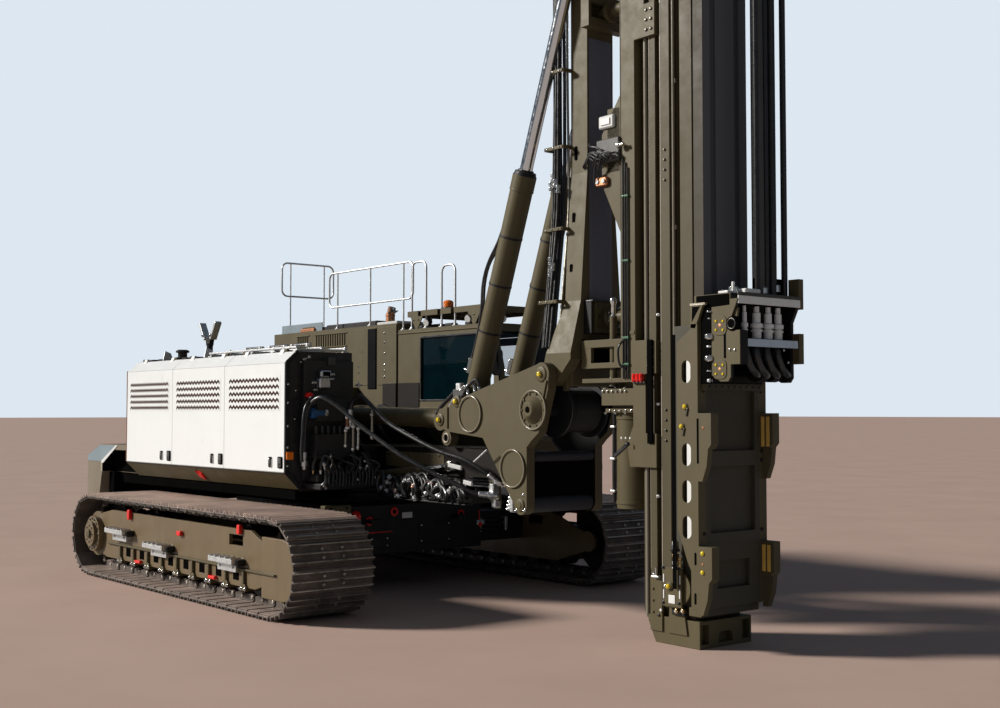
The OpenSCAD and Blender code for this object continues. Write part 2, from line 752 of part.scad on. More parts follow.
module cab_glass() {
    g = seat_gap;
    color(glass) at_slew() {
        block([cab_x + 480 + g, cab_y1 + 20, cab_top - 880 + g], [cab_front - 300 - g, cab_y1 + 20 + glass_t, cab_top - 110 - g]);
        block([cab_x + 20, cab_y1 + 200 + g, cab_top - 700 + g], [cab_x + 20 + glass_t, cab_y2 - 200 - g, cab_top - 150 - g]);
        side_profile(cab_y1 + 90 + g, cab_y2 - 90 - g) polygon([
            [cab_front - 30, cab_z + 450 + g], [cab_front - 30, cab_top - 530], [cab_front - 170, cab_top - 90 - g],
            [cab_front - 170 - glass_t, cab_top - 90 - g], [cab_front - 30 - glass_t, cab_top - 530],
            [cab_front - 30 - glass_t, cab_z + 450 + g]
        ]);
    }
}

module cab_seat() {
    y = (cab_y1 + cab_y2) / 2;
    z = cab_z + cab_t + seat_gap;
    color([0.1, 0.3, 0.28]) at_slew() {
        block([cab_x + 500, y - 200, z], [cab_x + 900, y + 200, z + 420]);
        block([cab_x + 440, y - 260, z + 419], [cab_x + 980, y + 260, z + 540]);
        block([cab_x + 400, y - 250, z + 539], [cab_x + 520, y + 250, z + 1180]);
        block([cab_x + 410, y - 130, z + 1179], [cab_x + 500, y + 130, z + 1360]);
        for (s = [-1, 1])
            block([cab_x + 560, y + s * 330 - 70, z], [cab_x + 1050, y + s * 330 + 70, z + 640]);
    }
}

module roof_guard() {
    z = cab_top + 150;
    color(olive) at_slew() {
        difference() {
            block([cab_x + 200, cab_y1, z], [cab_front - 300, cab_y2, z + 70]);
            block([cab_x + 212, cab_y1 + 12, z - eps], [cab_front - 312, cab_y2 - 12, z + 58]);
            // Notches for the hoops' legs
            for (g = roof_hoops) for (k = [0, 1])
                block([g[k] - rail_r - 8, cab_y1 - eps, z - eps], [g[k] + rail_r + 8, cab_y1 + 44 + rail_r + 8, z + 71]);
        }
        for (x = [cab_x + 330, cab_front - 520]) both_edges()
            translate([x, 0, 0]) side_profile(cab_y1, cab_y1 + 12) polygon([
                [40, cab_top + seat_gap], [90, cab_top + seat_gap], [190, z + eps], [-60, z + eps]
            ]);
    }
}

module both_edges() {
    children();
    translate([0, cab_y1 + cab_y2, 0]) mirror([0, 1, 0]) children();
}

module beacon() {
    color([1, 0.45, 0.05]) at_slew() translate([cab_x + 780, cab_y1 + 200, cab_top + 220 + seat_gap]) {
        cylinder(r = 75, h = 30);
        translate([0, 0, 29]) cylinder(r = 60, h = 80);
    }
}

// Boom: a box arm from the foot pin to the knee pin
arm_half = boom_gap / 2 - lug_gap;
arm_h = 260;
luff_eye_x = foot_x + 1600;
luff_eye_z = foot_z - 60;
knee_pin_r = 80;

module base_boom() {
    color(olive) at_slew() {
        difference() {
            union() {
                side_profile(-arm_half, arm_half) polygon([
                    [foot_x, foot_z - 110], [luff_eye_x, foot_z - 170], [knee_x, knee_z - 110],
                    [knee_x, knee_z + 110], [luff_eye_x, foot_z + 130], [foot_x, foot_z + 110]
                ]);
                y_rod(foot_x, foot_z, 130, -beam_y + lug_gap, beam_y - lug_gap);
                y_rod(knee_x, knee_z, 130, -arm_half, arm_half);
            }
            block([foot_x + 200, -arm_half + 40, foot_z - 125], [knee_x - 200, arm_half - 40, foot_z + 80]);
            y_rod(foot_x, foot_z, foot_pin_r - 20, -700, 700);
        }
        difference() {
            y_rod(foot_x, foot_z, foot_pin_r, -beam_out - 10, beam_out + 10);
            y_rod(foot_x, foot_z, foot_pin_r - 20, -700, 700);
        }
        y_rod(knee_x, knee_z, knee_pin_r, -head_half + 2, head_half - 2);
        both_sides() y_rod(luff_eye_x, luff_eye_z, luff_pin_r, arm_half - eps, luff_y + 50);
    }
}

stay_y = boom_gap / 2 - stay_r - lug_gap;
link_r = 100;

module parallel_link() {
    color(olive) at_slew() both_sides() {
        translate([link_rear_x, stay_y, link_rear_z])
            rotate([0, 90 + atan2(arm_drop, arm_dx), 0]) cylinder(r = link_r, h = norm([arm_dx, arm_drop]));
        y_rod(link_rear_x, link_rear_z, link_r + 15, stay_y - 110, stay_y + 110);
        y_rod(link_front_x, link_front_z, link_r + 5, stay_y - 110, stay_y + 110);
        y_rod(link_rear_x, link_rear_z, link_pin_r, stay_y, beam_out - 2);
        y_rod(link_front_x, link_front_z, link_pin_r, stay_y, head_half - 2);
    }
}

// A hydraulic cylinder from its foot to its rod's eye, both in the plane y = 0 of its own place
function reach(a, b) = norm(b - a);
function lean(a, b) = atan2(b[0] - a[0], b[1] - a[1]);

luff_foot = [luff_foot_x, luff_foot_z];
luff_eye = [luff_eye_x, luff_eye_z];
luff_rod_r = 32;
luff_barrel_l = 880;

module luff_barrels() {
    color(olive) at_slew() both_sides() translate([luff_foot[0], luff_y, luff_foot[1]])
        rotate([0, lean(luff_foot, luff_eye), 0]) difference() {
            union() {
                cylinder(r = luff_r, h = luff_barrel_l);
                y_rod(0, 0, luff_r + 10, -45, 45);
            }
            translate([0, 0, 200]) cylinder(r = luff_rod_r + pin_clear, h = luff_barrel_l);
            y_rod(0, 0, luff_pin_r + pin_clear, -luff_r - 20, luff_r + 20);
        }
}

module luff_rods() {
    l = reach(luff_foot, luff_eye);
    color(steel) at_slew() both_sides() translate([luff_foot[0], luff_y, luff_foot[1]])
        rotate([0, lean(luff_foot, luff_eye), 0]) difference() {
            union() {
                translate([0, 0, 420]) cylinder(r = luff_rod_r, h = l - 420);
                y_rod(0, l, 56, -45, 45);
            }
            y_rod(0, l, luff_pin_r + luff_play, -luff_r - 20, luff_r + 20);
        }
}

stay_foot_x = knee_x - 910;
stay_foot_z = knee_z + 660;
stay_pin_r = 46;
mast_pin_r = 70;
winch_x = knee_x + 310;
winch_z = knee_z + 570;
winch_r = 270;
shaft_r = 60;

// Round covers on the boom head. Columns: place along X, height, radius
cover_places = [[knee_x - 680, knee_z + 530, 190], [knee_x, knee_z, 190], [winch_x, winch_z, 195]];

// Two knee plates with cross tubes between them
module boom_head() {
    tip_x = knee_x + 110;
    tip_z = knee_z - 350;
    color(olive) at_slew() {
        both_sides() {
            side_profile(boom_gap / 2, head_half) difference() {
                union() {
                    polygon([
                        [link_front_x - 80, link_front_z + 85], [stay_foot_x + 320, stay_foot_z + 100],
                        [mast_x - 40, mast_z + 100], [mast_x + 108, mast_z + 20], [mast_x + 100, mast_z - 140],
                        [winch_x + 70, winch_z - 220], [winch_x - 40, winch_z - 300],
                        [tip_x + 95, tip_z + 560], [tip_x + 95, tip_z], [tip_x - 95, tip_z],
                        [knee_x - 230, knee_z - 40], [knee_x - 480, knee_z + 290], [link_front_x + 150, knee_z + 345],
                        [link_front_x - 90, link_front_z - 60]
                    ]);
                    translate([link_front_x, link_front_z]) circle(r = 115);
                    translate([mast_x, mast_z]) circle(r = 112);
                    translate([tip_x, tip_z]) circle(r = 95);
                    translate([link_front_x + 110, knee_z + 280]) circle(r = 80);
                }
                translate([link_front_x, link_front_z]) circle(r = link_pin_r + pin_clear);
                translate([stay_foot_x, stay_foot_z]) circle(r = stay_pin_r + pin_clear);
                translate([mast_x, mast_z]) circle(r = mast_pin_r + pin_clear);
                translate([knee_x, knee_z]) circle(r = knee_pin_r + pin_clear);
                translate([winch_x, winch_z]) circle(r = shaft_r + pin_clear);
                translate([link_front_x + 110, knee_z + 280]) circle(r = 34);
            }
            // Round covers over the bearings, one of them with the winch's gearbox
            for (p = cover_places) difference() {
                y_rod(p[0], p[1], p[2], head_half - eps, head_half + 18);
                y_rod(p[0], p[1], p[2] - 24, head_half + 8, head_half + 19);
            }
            translate([winch_x, head_half + 7, winch_z]) rotate([-90, 0, 0]) cylinder(r1 = 140, r2 = 70, h = 68);
        }
        // [x, z, r]
        for (t = [[tip_x, tip_z, 82], [tip_x + 45, tip_z + 465, 50]])
            y_rod(t[0], t[1], t[2], -boom_gap / 2 - eps, boom_gap / 2 + eps);
    }
}

module winch_drum() {
    half = 232;
    color(dark) at_slew() {
        y_rod(winch_x, winch_z, winch_r - 70, -half, half);
        for (y = [-half, half - 25]) y_rod(winch_x, winch_z, winch_r, y, y + 25);
        y_rod(winch_x, winch_z, shaft_r, -head_half + 2, head_half - 2);
    }
}

mast_rear = mast_x + 70;
mast_front = mast_rear + mast_d;
// Height of the lower gimbal, on whose axis the leader tilts sideways, and of the upper slide
gimbal_z = 2900;
slide_z = 5840;
gimbal_r = 60;
gimbal_front = mast_front + 110;

module mast_support() {
    foot_in = 250;
    foot_out = boom_gap / 2 - lug_gap;
    taper_z = 4300;
    color(olive) at_slew() {
        difference() {
            intersection() {
                side_profile(-foot_out, foot_out) polygon([
                    [mast_x - 110, mast_z], [mast_x + 40, mast_z + 520], [mast_rear, 3700], [mast_rear, mast_top],
                    [mast_front, mast_top], [mast_front, mast_z + 140], [mast_x + 110, mast_z - 60], [mast_x - 60, mast_z - 90]
                ]);
                front_profile(mast_x - 300, mast_front + 300) difference() {
                    polygon([
                        [-foot_out, mast_z - 120], [-foot_out, mast_z + 200], [-260, mast_z + 700], [-mast_w / 2, taper_z],
                        [-mast_w / 2, mast_top], [mast_w / 2, mast_top], [mast_w / 2, taper_z], [260, mast_z + 700],
                        [foot_out, mast_z + 200], [foot_out, mast_z - 120]
                    ]);
                    translate([-foot_in, mast_z - 130]) square([2 * foot_in, 460]);
                }
            }
            // Hollow box above the gimbal
            block([mast_rear + 25, -mast_w / 2 + 25, 3300], [mast_front - 25, mast_w / 2 - 25, mast_top - 25]);
        }
        both_sides() {
            y_rod(mast_x, mast_z, 112, foot_in, foot_out);
            y_rod(mast_x, mast_z, mast_pin_r, foot_out - eps, head_half - 2);
            y_rod(stay_top_x, stay_top_z, stay_pin_r, mast_w / 2 - 20, stay_y + 75);
        }
        difference() {
            block([mast_front - eps, -180, gimbal_z - 150], [gimbal_front, 180, gimbal_z + 150]);
            x_rod(0, gimbal_z, gimbal_r + pin_clear, mast_front, gimbal_front + eps);
        }
        difference() {
            block([mast_front - eps, -250, slide_z - 160], [gimbal_front, 250, slide_z + 160]);
            block([mast_front, -215, slide_z - gimbal_r - 10], [gimbal_front + eps, 215, slide_z + gimbal_r + 10]);
        }
    }
}

stay_top_x = mast_x + 200;
stay_top_z = mast_z + 3950;
stay_foot = [stay_foot_x, stay_foot_z];
stay_top = [stay_top_x, stay_top_z];
stay_barrel_l = 2400;

module backstay_barrels() {
    color(olive) at_slew() both_sides() translate([stay_foot[0], stay_y, stay_foot[1]])
        rotate([0, lean(stay_foot, stay_top), 0]) {
            difference() {
                union() {
                    cylinder(r = stay_r - 6, h = stay_barrel_l);
                    translate([0, 0, stay_barrel_l - 160]) cylinder(r = stay_r, h = 160);
                }
                translate([0, 0, 150]) cylinder(r = stay_rod_r + pin_clear, h = stay_barrel_l);
            }
            y_rod(0, 0, stay_r - 2, -stay_r, stay_r);
            y_rod(0, 0, stay_pin_r, 0, head_half - 2 - stay_y);
        }
}

module backstay_rods() {
    l = reach(stay_foot, stay_top);
    color(steel) at_slew() both_sides() translate([stay_foot[0], stay_y, stay_foot[1]])
        rotate([0, lean(stay_foot, stay_top), 0]) difference() {
            union() {
                translate([0, 0, 700]) cylinder(r = stay_rod_r, h = l - 700);
                y_rod(0, l, 90, -68, 68);
            }
            y_rod(0, l, stay_pin_r + stay_play, -90, 90);
        }
}

// Leader carriage: wraps the leader's rear rails, tilts sideways on the gimbal
half_leader = leader_w / 2;
rail_out = half_leader + 45;
col_x = leader_x - 210;
car_in = rail_out + slide_gap;
car_out = car_in + 30;
rail_x1 = leader_x + 120;
rail_x2 = rail_x1 + 80;
// Side boxes in front of the rails
side_x1 = rail_x2 + 56;
side_x2 = side_x1 + 114;
back_x = leader_x - 25;
car_top_z = 6500;
car_low_z = 1510;
guide_h = 1130;

module leader_carriage() {
    hex_x = leader_x - 450;
    fork_x = mast_front + 30;
    pin_x = leader_x - 400;
    barrel_x = leader_x - 350;
    color(olive) at_slew() {
        both_sides() {
            // Column with a six-sided gusset, and the guides below and above it
            side_profile(car_in, car_out) polygon([
                [col_x, 2270], [back_x, 2270], [back_x, car_top_z], [col_x, car_top_z], [col_x, 4900],
                [hex_x, 4570], [hex_x, 4110], [col_x, 3640]
            ]);
            for (z = [car_low_z, car_top_z - guide_h]) {
                side_profile(car_in, car_out) translate([back_x - 30, z]) square([rail_x1 - 20 - back_x + 30, guide_h]);
                for (k = [0, guide_h - 300]) linear_extrude_at(z + k, 300) polygon([
                    [rail_x1 - 28, car_out], [rail_x2 + 30, car_out], [rail_x2 + 30, half_leader + slide_gap],
                    [rail_x2 + pad_gap, half_leader + slide_gap], [rail_x2 + pad_gap, car_in],
                    [rail_x1 - pad_gap, car_in], [rail_x1 - pad_gap, half_leader + slide_gap],
                    [rail_x1 - 28, half_leader + slide_gap]
                ]);
            }
            // Cheeks of the locking fork, with a window between them
            block([fork_x, car_in - 40, 2435], [fork_x + 130, car_in, 2630]);
            block([pin_x + 70, car_in - 40, 2435], [back_x, car_in, 2630]);
            translate([pin_x, 220, 2240]) cylinder(r = 34, h = 640);
            translate([pin_x, 220, 2839]) cylinder(r = 24, h = 40);
        }
        block([back_x - 30, -car_in - eps, car_low_z], [back_x, car_in + eps, car_top_z]);
        for (z = [3700, 4300, 4880])
            block([z == 4300 ? hex_x + 10 : col_x + 10, -car_in - eps, z], [back_x - 20, car_in + eps, z + 30]);
        // Fork plates. Columns: rear edge, underside, top
        for (f = [[fork_x, 2600, 2670], [fork_x, 2405, 2455], [fork_x + 10, 2270, 2310]])
            block([f[0], -car_in - eps, f[1]], [back_x - 20, car_in + eps, f[2]]);
        // Shafts in the gimbal and in the upper slide
        for (z = [gimbal_z, slide_z]) {
            x_rod(0, z, gimbal_r, mast_front + 12, back_x - 20);
            x_rod(0, z, 105, gimbal_front + 40, gimbal_front + 80);
        }
        // Lift cylinder's barrel under its flange, and the cover beside it
        translate([barrel_x, 0, 1110]) cylinder(r = 165, h = 900);
        block([barrel_x - 180, -200, 1995], [back_x - 20, 200, 2030]);
        block([barrel_x - 200, -230, 2060], [back_x - 20, 230, 2215]);
        block([barrel_x - 120, -150, 2029], [back_x - 20, 150, 2271]);
        side_profile(-190, 190) polygon([
            [back_x - 20, 1500], [barrel_x + 130, 1500], [barrel_x + 90, 1710], [back_x - 110, 1960], [back_x - 20, 1960]
        ]);
    }
}

module linear_extrude_at(z, h) {
    translate([0, 0, z]) linear_extrude(h) children();
}

module leader() {
    color(olive) at_slew() linear_extrude_at(foot_h, leader_top - foot_h) difference() {
        union() {
            translate([leader_x, -half_leader]) square([leader_d, leader_w]);
            for (x = [[rail_x1, rail_x2], [side_x1, side_x2]])
                translate([x[0], -rail_out]) square([x[1] - x[0], 2 * rail_out]);
            translate([neck_x - eps, -neck_half]) square([flange_x - neck_x + 2, 2 * neck_half]);
            translate([flange_x, -flange_half]) square([flange_d, 2 * flange_half]);
        }
        translate([leader_x + leader_t, -half_leader + leader_t])
            square([leader_d - 2 * leader_t, leader_w - 2 * leader_t]);
        translate([flange_x + leader_t, -neck_half]) square([flange_d - 2 * leader_t, 2 * neck_half]);
    }
}

module leader_foot() {
    front = flange_front + 90;
    rear = leader_x + 140;
    top = foot_h - seat_gap;
    sheave = [leader_x + 510, 500];
    color(olive) at_slew() {
        difference() {
            side_profile(-330, 330) polygon([
                [rear + 90, 0], [front, 0], [front, top], [rear, top], [rear, top - 50]
            ]);
            // Square and arched recesses in the front face
            for (y = [-310, 210]) block([front - 70, y, 35], [front + eps, y + 100, top - 30]);
            front_profile(front - 70, front + eps) {
                translate([-90, 35]) square([180, 50]);
                translate([-50, 85]) square([100, 40]);
                for (y = [-50, 50]) translate([y, 85]) circle(r = 40);
            }
        }
        // Cheek plates welded to the foot's sides
        both_sides() side_profile(317, 345) polygon([
            [rear + 40, 100], [rear + 180, 100], [rear + 180, 570], [rear + 40, 570]
        ]);
    }
    // Rope sheave between two plates on the right side
    color(olive) at_slew() {
        side_profile(-345, -317) polygon([[sheave[0] - 120, 100], [sheave[0] + 100, 100], [sheave[0] + 60, 345], [sheave[0] - 100, 345]]);
        side_profile(-402, -344) translate([sheave[0] - 100, 330]) square([150, 100]);
        side_profile(-412, -388) translate([sheave[0] - 120, 340]) square([220, 330]);
        side_profile(-402, -344) translate([sheave[0] - 110, 610]) square([60, 55]);
    }
    color(dark) at_slew() {
        y_rod(sheave[0] + 30, sheave[1], 145, -383, -349);
        y_rod(sheave[0] + 30, sheave[1], 40, -412, -345);
    }
}

// Pipes along both sides of the leader, held by clips, and a guide tube at its rear corners
module leader_pipes() {
    r = 14;
    y = half_leader + r + 12;
    x = neck_x - 28;
    color(steel) at_slew() both_sides() {
        translate([x, y, 900]) cylinder(r = r, h = leader_top - 1400);
        for (z = [1000 : 1300 : leader_top - 600])
            block([x - 22, half_leader + seat_gap, z], [x + 22, y + 1, z + 40]);
        translate([leader_x + 60, half_leader + 20 + seat_gap, 190]) cylinder(r = 20, h = leader_top - 300);
    }
}

module leader_crown() {
    z = leader_top + seat_gap;
    color(olive) at_slew() {
        block([leader_x - 60, -flange_half, z], [flange_x + 60, flange_half, z + 60]);
        for (y = [-200, -100, 80, 180])
            side_profile(y, y + 20) polygon([[leader_x, z + 59], [neck_x, z + 59], [neck_x - 100, z + 420], [leader_x + 60, z + 420]]);
        for (y = [-178, 102]) {
            y_rod(leader_x + 200, z + 300, 170, y, y + 76);
            y_rod(leader_x + 200, z + 300, 40, y - 30, y + 106);
        }
    }
}

module inner_mast() {
    color(dark) at_slew() linear_extrude_at(sledge_top + seat_gap, inner_top - sledge_top) difference() {
        translate([inner_x, -inner_half]) square([inner_d, 2 * inner_half]);
        translate([inner_x + 18, -inner_half + 18]) square([inner_d - 36, 2 * inner_half - 36]);
        for (y = [-190, 130]) translate([inner_x + inner_d - 12, y]) square([20, 60]);
    }
}

module mast_head() {
    z = inner_top + 2 * seat_gap;
    x = inner_x + inner_d / 2;
    color(olive) at_slew() {
        block([inner_x - 10, -460, z], [pipe_x + 60, 460, z + 50]);
        for (y = [-160, -60, 40, 140])
            side_profile(y, y + 20) polygon([[x - 40, z + 49], [x + 240, z + 49], [x + 180, z + 420], [x + 20, z + 420]]);
        for (y = [-138, 62]) {
            y_rod(x + 100, z + 280, 150, y, y + 76);
            y_rod(x + 100, z + 280, 36, y - 30, y + 106);
        }
        translate([x + 100, 0, z + 40]) cylinder(r = 25, h = 900);
    }
}

// Supply pipes from the mast's head down to the coupling head. Columns: place along Y, radius
pipe_places = [[50, 20], [170, 27], [255, 36], [415, 27]];
pipe_x = inner_x + inner_d + 300;

module supply_pipes() {
    color(dark) at_slew() for (p = pipe_places)
        translate([pipe_x, p[0], head_top + seat_gap]) cylinder(r = p[1], h = inner_top - head_top);
}

// Sledge: a channel round the leader's front flange inside a wide box with windows, oval holes and claws
sledge_half = sledge_w / 2;
sledge_rear = flange_x - slide_gap - 36;
box_rear = flange_x + 90;
sledge_front = flange_front + 185;
channel_half = flange_half + 45;
claw_in = sledge_half - 90;

module oval(h, w) {
    translate([0, h / 2 - w / 2]) circle(r = w / 2);
    translate([0, w / 2 - h / 2]) circle(r = w / 2);
    square([w, h - w], center = true);
}

// The sledge's section, seen from above
module sledge_section() {
    cavity = flange_front + 30;
    slab = sledge_front - 70;
    difference() {
        union() {
            translate([sledge_rear, -channel_half]) square([flange_front + 20 - sledge_rear, 2 * channel_half]);
            translate([box_rear, -sledge_half]) square([sledge_front - box_rear, sledge_w]);
        }
        translate([flange_x - pad_gap, -flange_half - 20]) square([flange_d + 2 * pad_gap, 2 * flange_half + 40]);
        translate([sledge_rear - eps, -neck_half - slide_gap]) square([60, 2 * (neck_half + slide_gap)]);
        translate([cavity, -sledge_half + sledge_t]) square([slab - cavity, sledge_w - 2 * sledge_t]);
        for (s = [-1, 1]) scale([1, s])
            translate([box_rear + 30, channel_half + 10])
                square([slab - box_rear - 30, sledge_half - sledge_t - channel_half - 10]);
    }
}

// Claw at one side: a wear block above, a thinner foot with cut corners below
module claw(z) {
    side_profile(claw_in, sledge_half) polygon([
        [sledge_front - 5, z + 270], [sledge_front - 5, z + 570], [sledge_front + 145, z + 570], [sledge_front + 145, z + 310],
        [sledge_front + 110, z + 270]
    ]);
    side_profile(sledge_half - 55, sledge_half) polygon([
        [sledge_front - 5, z], [sledge_front - 5, z + 275], [sledge_front + 112, z + 275], [sledge_front + 95, z + 130], [sledge_front + 45, z]
    ]);
}

module sledge() {
    cut_x = sledge_front - 85;
    color(olive) at_slew() {
        difference() {
            linear_extrude_at(sledge_z + 50, sledge_l - 50) sledge_section();
            // Lower rear corners cut away for the rope sheave
            both_sides() side_profile(channel_half + 2, sledge_half + eps) polygon([
                [box_rear - eps, sledge_z], [cut_x, sledge_z], [cut_x, sledge_z + 370], [cut_x - 40, sledge_z + 440],
                [box_rear - eps, sledge_z + 720]
            ]);
            // Upper rear corners
            both_sides() side_profile(channel_half + 2, sledge_half + eps) polygon([
                [box_rear - eps, sledge_top + eps], [box_rear + 160, sledge_top + eps], [box_rear + 160, sledge_top - 40],
                [box_rear - eps, sledge_top - 150]
            ]);
            // Oval holes in the side plates
            for (z = [730, 1030, 1340, 2040])
                both_sides() side_profile(sledge_half - sledge_t - eps, sledge_half + eps)
                    translate([box_rear + 105, sledge_z + z]) oval(190, 100);
            // Recessed windows in the front. Columns: half width, lower edge, upper edge
            for (w = [[205, 210, 440], [285, 680, 1240], [285, 1370, 1880]])
                block([sledge_front - 50, -w[0], sledge_z + w[1]], [sledge_front + eps, w[0], sledge_z + w[2]]);
            // Room for the coupling head
            block([inner_x + inner_d - 60, -sledge_half + sledge_t, head_low], [sledge_front + eps, sledge_half - sledge_t, sledge_top + eps]);
        }
        // Ledges below and above the front plate, and the claws that carry the working tool
        block([box_rear + 60, -370, sledge_z - 20], [sledge_front - 40, 370, sledge_z + 51]);
        block([sledge_front - eps, -sledge_half + 40, head_low - 60], [sledge_front + 30, sledge_half - 40, head_low]);
        both_sides() for (z = [sledge_z + 10, sledge_z + 1120]) claw(z);
    }
}

// Coupling head: shelves between two side plates, with the hose couplings and a valve box
module coupling_head() {
    x1 = inner_x + inner_d + seat_gap;
    z1 = head_low + seat_gap;
    plate_x = x1 + 0.5 * head_d;
    shelf_x = head_front - 0.2 * head_d;
    half = sledge_half - sledge_t - 2;
    color(olive) at_slew() {
        block([x1, -half, z1], [x1 + 60, half, head_top]);
        both_sides() side_profile(half - 38, half) polygon([
            [x1 + 59, z1 + 60], [plate_x, z1 + 60], [plate_x + 10, z1 + 25], [plate_x + 40, z1 + 10], [shelf_x - 30, z1 + 10],
            [shelf_x, z1 + 50], [shelf_x, z1 + 520], [shelf_x + 80, head_top - 50], [x1 + 59, head_top - 50]
        ]);
        block([x1 + 59, -half, head_top - 50], [shelf_x, half, head_top]);
        block([x1 + 59, -half + 37, z1 + 330], [shelf_x - 10, half - 37, z1 + 370]);
        block([shelf_x - 20, -half, z1 + 150], [head_front, -half + 100, z1 + 430]);
        for (z = [z1 + 170, z1 + 640]) block([shelf_x - 50, half - eps, z], [shelf_x + 60, half + 62, z + 260]);
        for (p = pipe_places)
            translate([pipe_x - 20, p[0] - 75, z1 + 369]) cylinder(r = p[1] + 20, h = head_top - z1 - 418);
        // Hose bends under the lower shelf
        for (y = [130, 300]) y_rod(pipe_x - 60, z1 + 130, 115, y - 45, y + 45);
        for (y = [130, 300]) block([pipe_x - 100, y - 30, z1 + 130], [pipe_x - 20, y + 30, z1 + 331]);
    }
}

car_body();
slew_ring();
track_frame(-1);  // track_frame_right
track_frame(1);  // track_frame_left
track_shoes(-1);  // track_shoes_right
track_shoes(1);  // track_shoes_left
track_wheels(-1);  // track_wheels_right
track_wheels(1);  // track_wheels_left
power_pack_door(0);  // power_pack_door_1
power_pack_door(1);  // power_pack_door_2
power_pack_door(2);  // power_pack_door_3
track_steps();
upper_frame();
counterweight();
power_pack_housing();
hydraulic_block();
engine_block();
hood();
exhaust();
handrails();
cab_shell();
cab_door();
cab_glass();
cab_seat();
roof_guard();
beacon();
base_boom();
parallel_link();
luff_barrels();
luff_rods();
boom_head();
winch_drum();
mast_support();
backstay_barrels();
backstay_rods();
leader_carriage();
leader();
leader_foot();
leader_pipes();
leader_crown();
inner_mast();
mast_head();
supply_pipes();
sledge();
coupling_head();
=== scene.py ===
"""Looks of the crawler-mounted pile driver rig: materials, fine pieces, floor, light and camera."""
import json
import math
import random

import bmesh
import bpy
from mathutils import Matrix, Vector


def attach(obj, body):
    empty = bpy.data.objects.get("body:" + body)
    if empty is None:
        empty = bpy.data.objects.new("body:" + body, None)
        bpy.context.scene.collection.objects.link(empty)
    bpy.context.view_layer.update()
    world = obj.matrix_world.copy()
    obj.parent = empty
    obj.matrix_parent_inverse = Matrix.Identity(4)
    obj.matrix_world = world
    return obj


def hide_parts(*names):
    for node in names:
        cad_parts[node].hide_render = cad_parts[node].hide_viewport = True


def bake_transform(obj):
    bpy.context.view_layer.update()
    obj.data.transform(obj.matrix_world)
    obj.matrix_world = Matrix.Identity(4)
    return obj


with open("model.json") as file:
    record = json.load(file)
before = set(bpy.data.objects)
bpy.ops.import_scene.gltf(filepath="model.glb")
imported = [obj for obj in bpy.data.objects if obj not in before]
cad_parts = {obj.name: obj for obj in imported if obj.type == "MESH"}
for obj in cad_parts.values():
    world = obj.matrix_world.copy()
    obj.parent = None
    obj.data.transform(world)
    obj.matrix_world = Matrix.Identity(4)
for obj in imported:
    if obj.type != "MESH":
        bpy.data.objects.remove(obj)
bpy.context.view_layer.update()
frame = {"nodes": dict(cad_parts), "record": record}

# Lengths along X are written from the slewing axis; the model's origin lies this far from it
SLEW_X = -0.925
IMAGE_W, IMAGE_H = 1000, 708
AHEAD, LEFT, RIGHT, UP = (1, 0, 0), (0, 1, 0), (0, -1, 0), (0, 0, 1)


def at(x, y, z):
    return Vector((x + SLEW_X, y, z))


# Camera: position, heading from the side view, rise, focal length and line of sight, as solved from the photograph
CAMERA_AT = at(13.2884, -8.49311, 2.0)
HEADING = math.radians(38.97)
RISE = math.radians(2.586)
FOCAL_PX = 1284.0
LOOK = Vector((-math.cos(HEADING) * math.cos(RISE), math.sin(HEADING) * math.cos(RISE), math.sin(RISE)))


def make_camera():
    cam = bpy.data.cameras.new("camera")
    cam.sensor_width = 36.0
    cam.lens = FOCAL_PX / IMAGE_W * cam.sensor_width
    obj = bpy.data.objects.new("camera", cam)
    obj.location = CAMERA_AT
    obj.rotation_euler = LOOK.to_track_quat("-Z", "Y").to_euler()
    bpy.context.scene.collection.objects.link(obj)
    bpy.context.scene.camera = obj


# Materials


def new_material(name):
    mat = bpy.data.materials.new(name)
    mat.use_nodes = True
    return mat, mat.node_tree, mat.node_tree.nodes["Principled BSDF"]


def put(tree, socket, value):
    """Links an output to the socket, or sets the socket's own value."""
    if hasattr(value, "is_output"):
        tree.links.new(value, socket)
    else:
        socket.default_value = value


def set_shader(tree, shader, values):
    for key, value in values.items():
        put(tree, shader.inputs[key], value)


def math_node(tree, operation, *values):
    n = tree.nodes.new("ShaderNodeMath")
    n.operation = operation
    for socket, value in zip(n.inputs, values):
        put(tree, socket, value)
    return n.outputs[0]


def object_place(tree):
    return tree.nodes.new("ShaderNodeTexCoord").outputs["Object"]


def one_of(tree, vector, axis):
    """One coordinate of a vector: 0, 1 or 2 for X, Y or Z."""
    xyz = tree.nodes.new("ShaderNodeSeparateXYZ")
    tree.links.new(vector, xyz.inputs[0])
    return xyz.outputs[axis]


def noise(tree, scale, detail=4.0, rough=0.6, stretch=None):
    tex = tree.nodes.new("ShaderNodeTexNoise")
    for key, value in (("Scale", scale), ("Detail", detail), ("Roughness", rough)):
        tex.inputs[key].default_value = value
    place = object_place(tree)
    if stretch:
        mapping = tree.nodes.new("ShaderNodeMapping")
        mapping.inputs["Scale"].default_value = stretch
        tree.links.new(place, mapping.inputs["Vector"])
        place = mapping.outputs["Vector"]
    tree.links.new(place, tex.inputs["Vector"])
    return tex.outputs["Fac"]


def ramp(tree, fac, stops):
    r = tree.nodes.new("ShaderNodeValToRGB")
    elements = r.color_ramp.elements
    while len(elements) > 1:
        elements.remove(elements[0])
    elements[0].position, elements[0].color = stops[0]
    for place, color in stops[1:]:
        elements.new(place).color = color
    tree.links.new(fac, r.inputs["Fac"])
    return r.outputs["Color"]


def grey(v):
    return (v, v, v, 1.0)


def rgba(color, k=1.0):
    """Colour as four numbers, made k times as bright."""
    return tuple(min(1.0, c * k) for c in color) + (1.0,)


